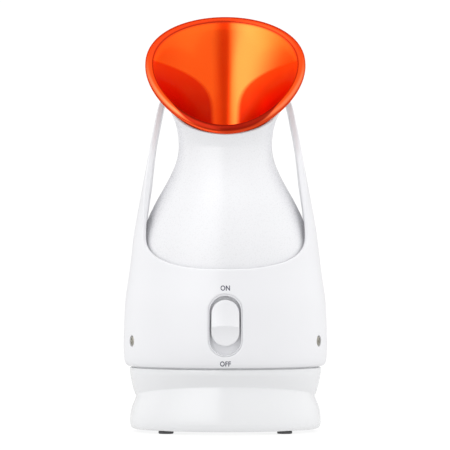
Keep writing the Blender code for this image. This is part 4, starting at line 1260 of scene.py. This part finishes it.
def make_world():
    """Soft light from all round, dimmer at the camera and behind. Glossy faces see a softbox at the left."""
    world = bpy.data.worlds.new("studio")
    bpy.context.scene.world = world
    world.use_nodes = True
    node = node_adder(world.node_tree)
    x, y, up = parts_of(node, "Generated")
    azimuth = x.math("ARCTAN2", y * -1).math("DEGREES")
    away = abs(azimuth)
    left_box = azimuth.rise(-3, -14) * azimuth.rise(-95, -35)
    glossy = away.rise(2, 16) * 0.25 + 0.75 + left_box * 1.4 - away.rise(110, 165) * 0.3
    diffuse = away.rise(10, 60) * 0.66 + 0.84 - away.rise(80, 150) * 0.12
    diffuse *= up.rise(0.25, 1) * -0.35 + 1.06
    level = node("Mix", {0: node("LightPath", out="Is Glossy Ray"), 2: diffuse, 3: glossy})
    strength = node("Mix", {0: node("LightPath", out="Is Camera Ray"), 2: level, 3: BACKDROP})
    fill(world.node_tree.nodes["Background"], {"Color": (1, 1, 1, 1), "Strength": strength})


def make_floor():
    """A pale floor with a faint shadow, which turns into the white of the backdrop away from the object."""
    corners = [(x * FLOOR_REACH, y * FLOOR_REACH, 0) for x, y in ((-1, -1), (1, -1), (1, 1), (-1, 1))]
    floor = add_mesh("studio_floor", corners, [(0, 1, 2, 3)])
    dress(floor, "floor_pale")
    tree = LOOKS["floor_pale"].node_tree
    node = node_adder(tree)
    place = node("TexCoord", out="Object")
    distance = node("VectorMath", {0: place}, out="Value", operation="LENGTH")
    fade = distance.rise(0.1, 0.7).ranged(FLOOR_GLOW, 1)
    glow, bounce = [node("Emission", {"Strength": strength}) for strength in (BACKDROP, FLOOR_BOUNCE)]
    shaded = Value(node, tree.nodes["Principled BSDF"].outputs[0])
    seen = node("MixShader", {0: fade, 1: shaded, 2: glow})
    surface = node("MixShader", {0: node("LightPath", out="Is Camera Ray"), 1: bounce, 2: seen})
    fill(tree.nodes["Material Output"], {"Surface": surface})


def add_aimed(name, data, at, height):
    """A lamp or camera at a point, turned to the upright axis at a height."""
    obj = add_object(name, data)
    obj.location = at
    obj.rotation_euler = (Vector((0, 0, height)) - obj.location).to_track_quat("-Z", "Y").to_euler()
    return obj


def make_light():
    lamp = bpy.data.lights.new("top_softbox", "AREA")
    lamp.size = 1.6
    lamp.energy = 3
    add_aimed("top_softbox", lamp, (0, -0.3, 1.6), 0.1).visible_camera = False


def make_camera():
    camera = bpy.data.cameras.new("camera")
    camera.sensor_width = SENSOR_WIDTH
    camera.lens = SENSOR_WIDTH * CAMERA_DISTANCE / FRAME_WIDTH
    camera.shift_x = SIDE_SHIFT
    camera.clip_end = 60
    at = (0, -CAMERA_DISTANCE, CAMERA_HEIGHT)
    bpy.context.scene.camera = add_aimed("camera", camera, at, AIM_HEIGHT)


def main():
    make_shell()
    make_tower()
    make_nozzle()
    make_base()
    make_feet()
    make_plate()
    make_screws()
    make_well()
    make_button()
    for name, (text, centre_z) in LEGENDS.items():
        make_legend(name, text, centre_z)
    make_inlet()
    dress_nodes()
    make_world()
    make_floor()
    make_light()
    make_camera()
    bpy.context.scene.view_settings.view_transform = "Standard"


main()
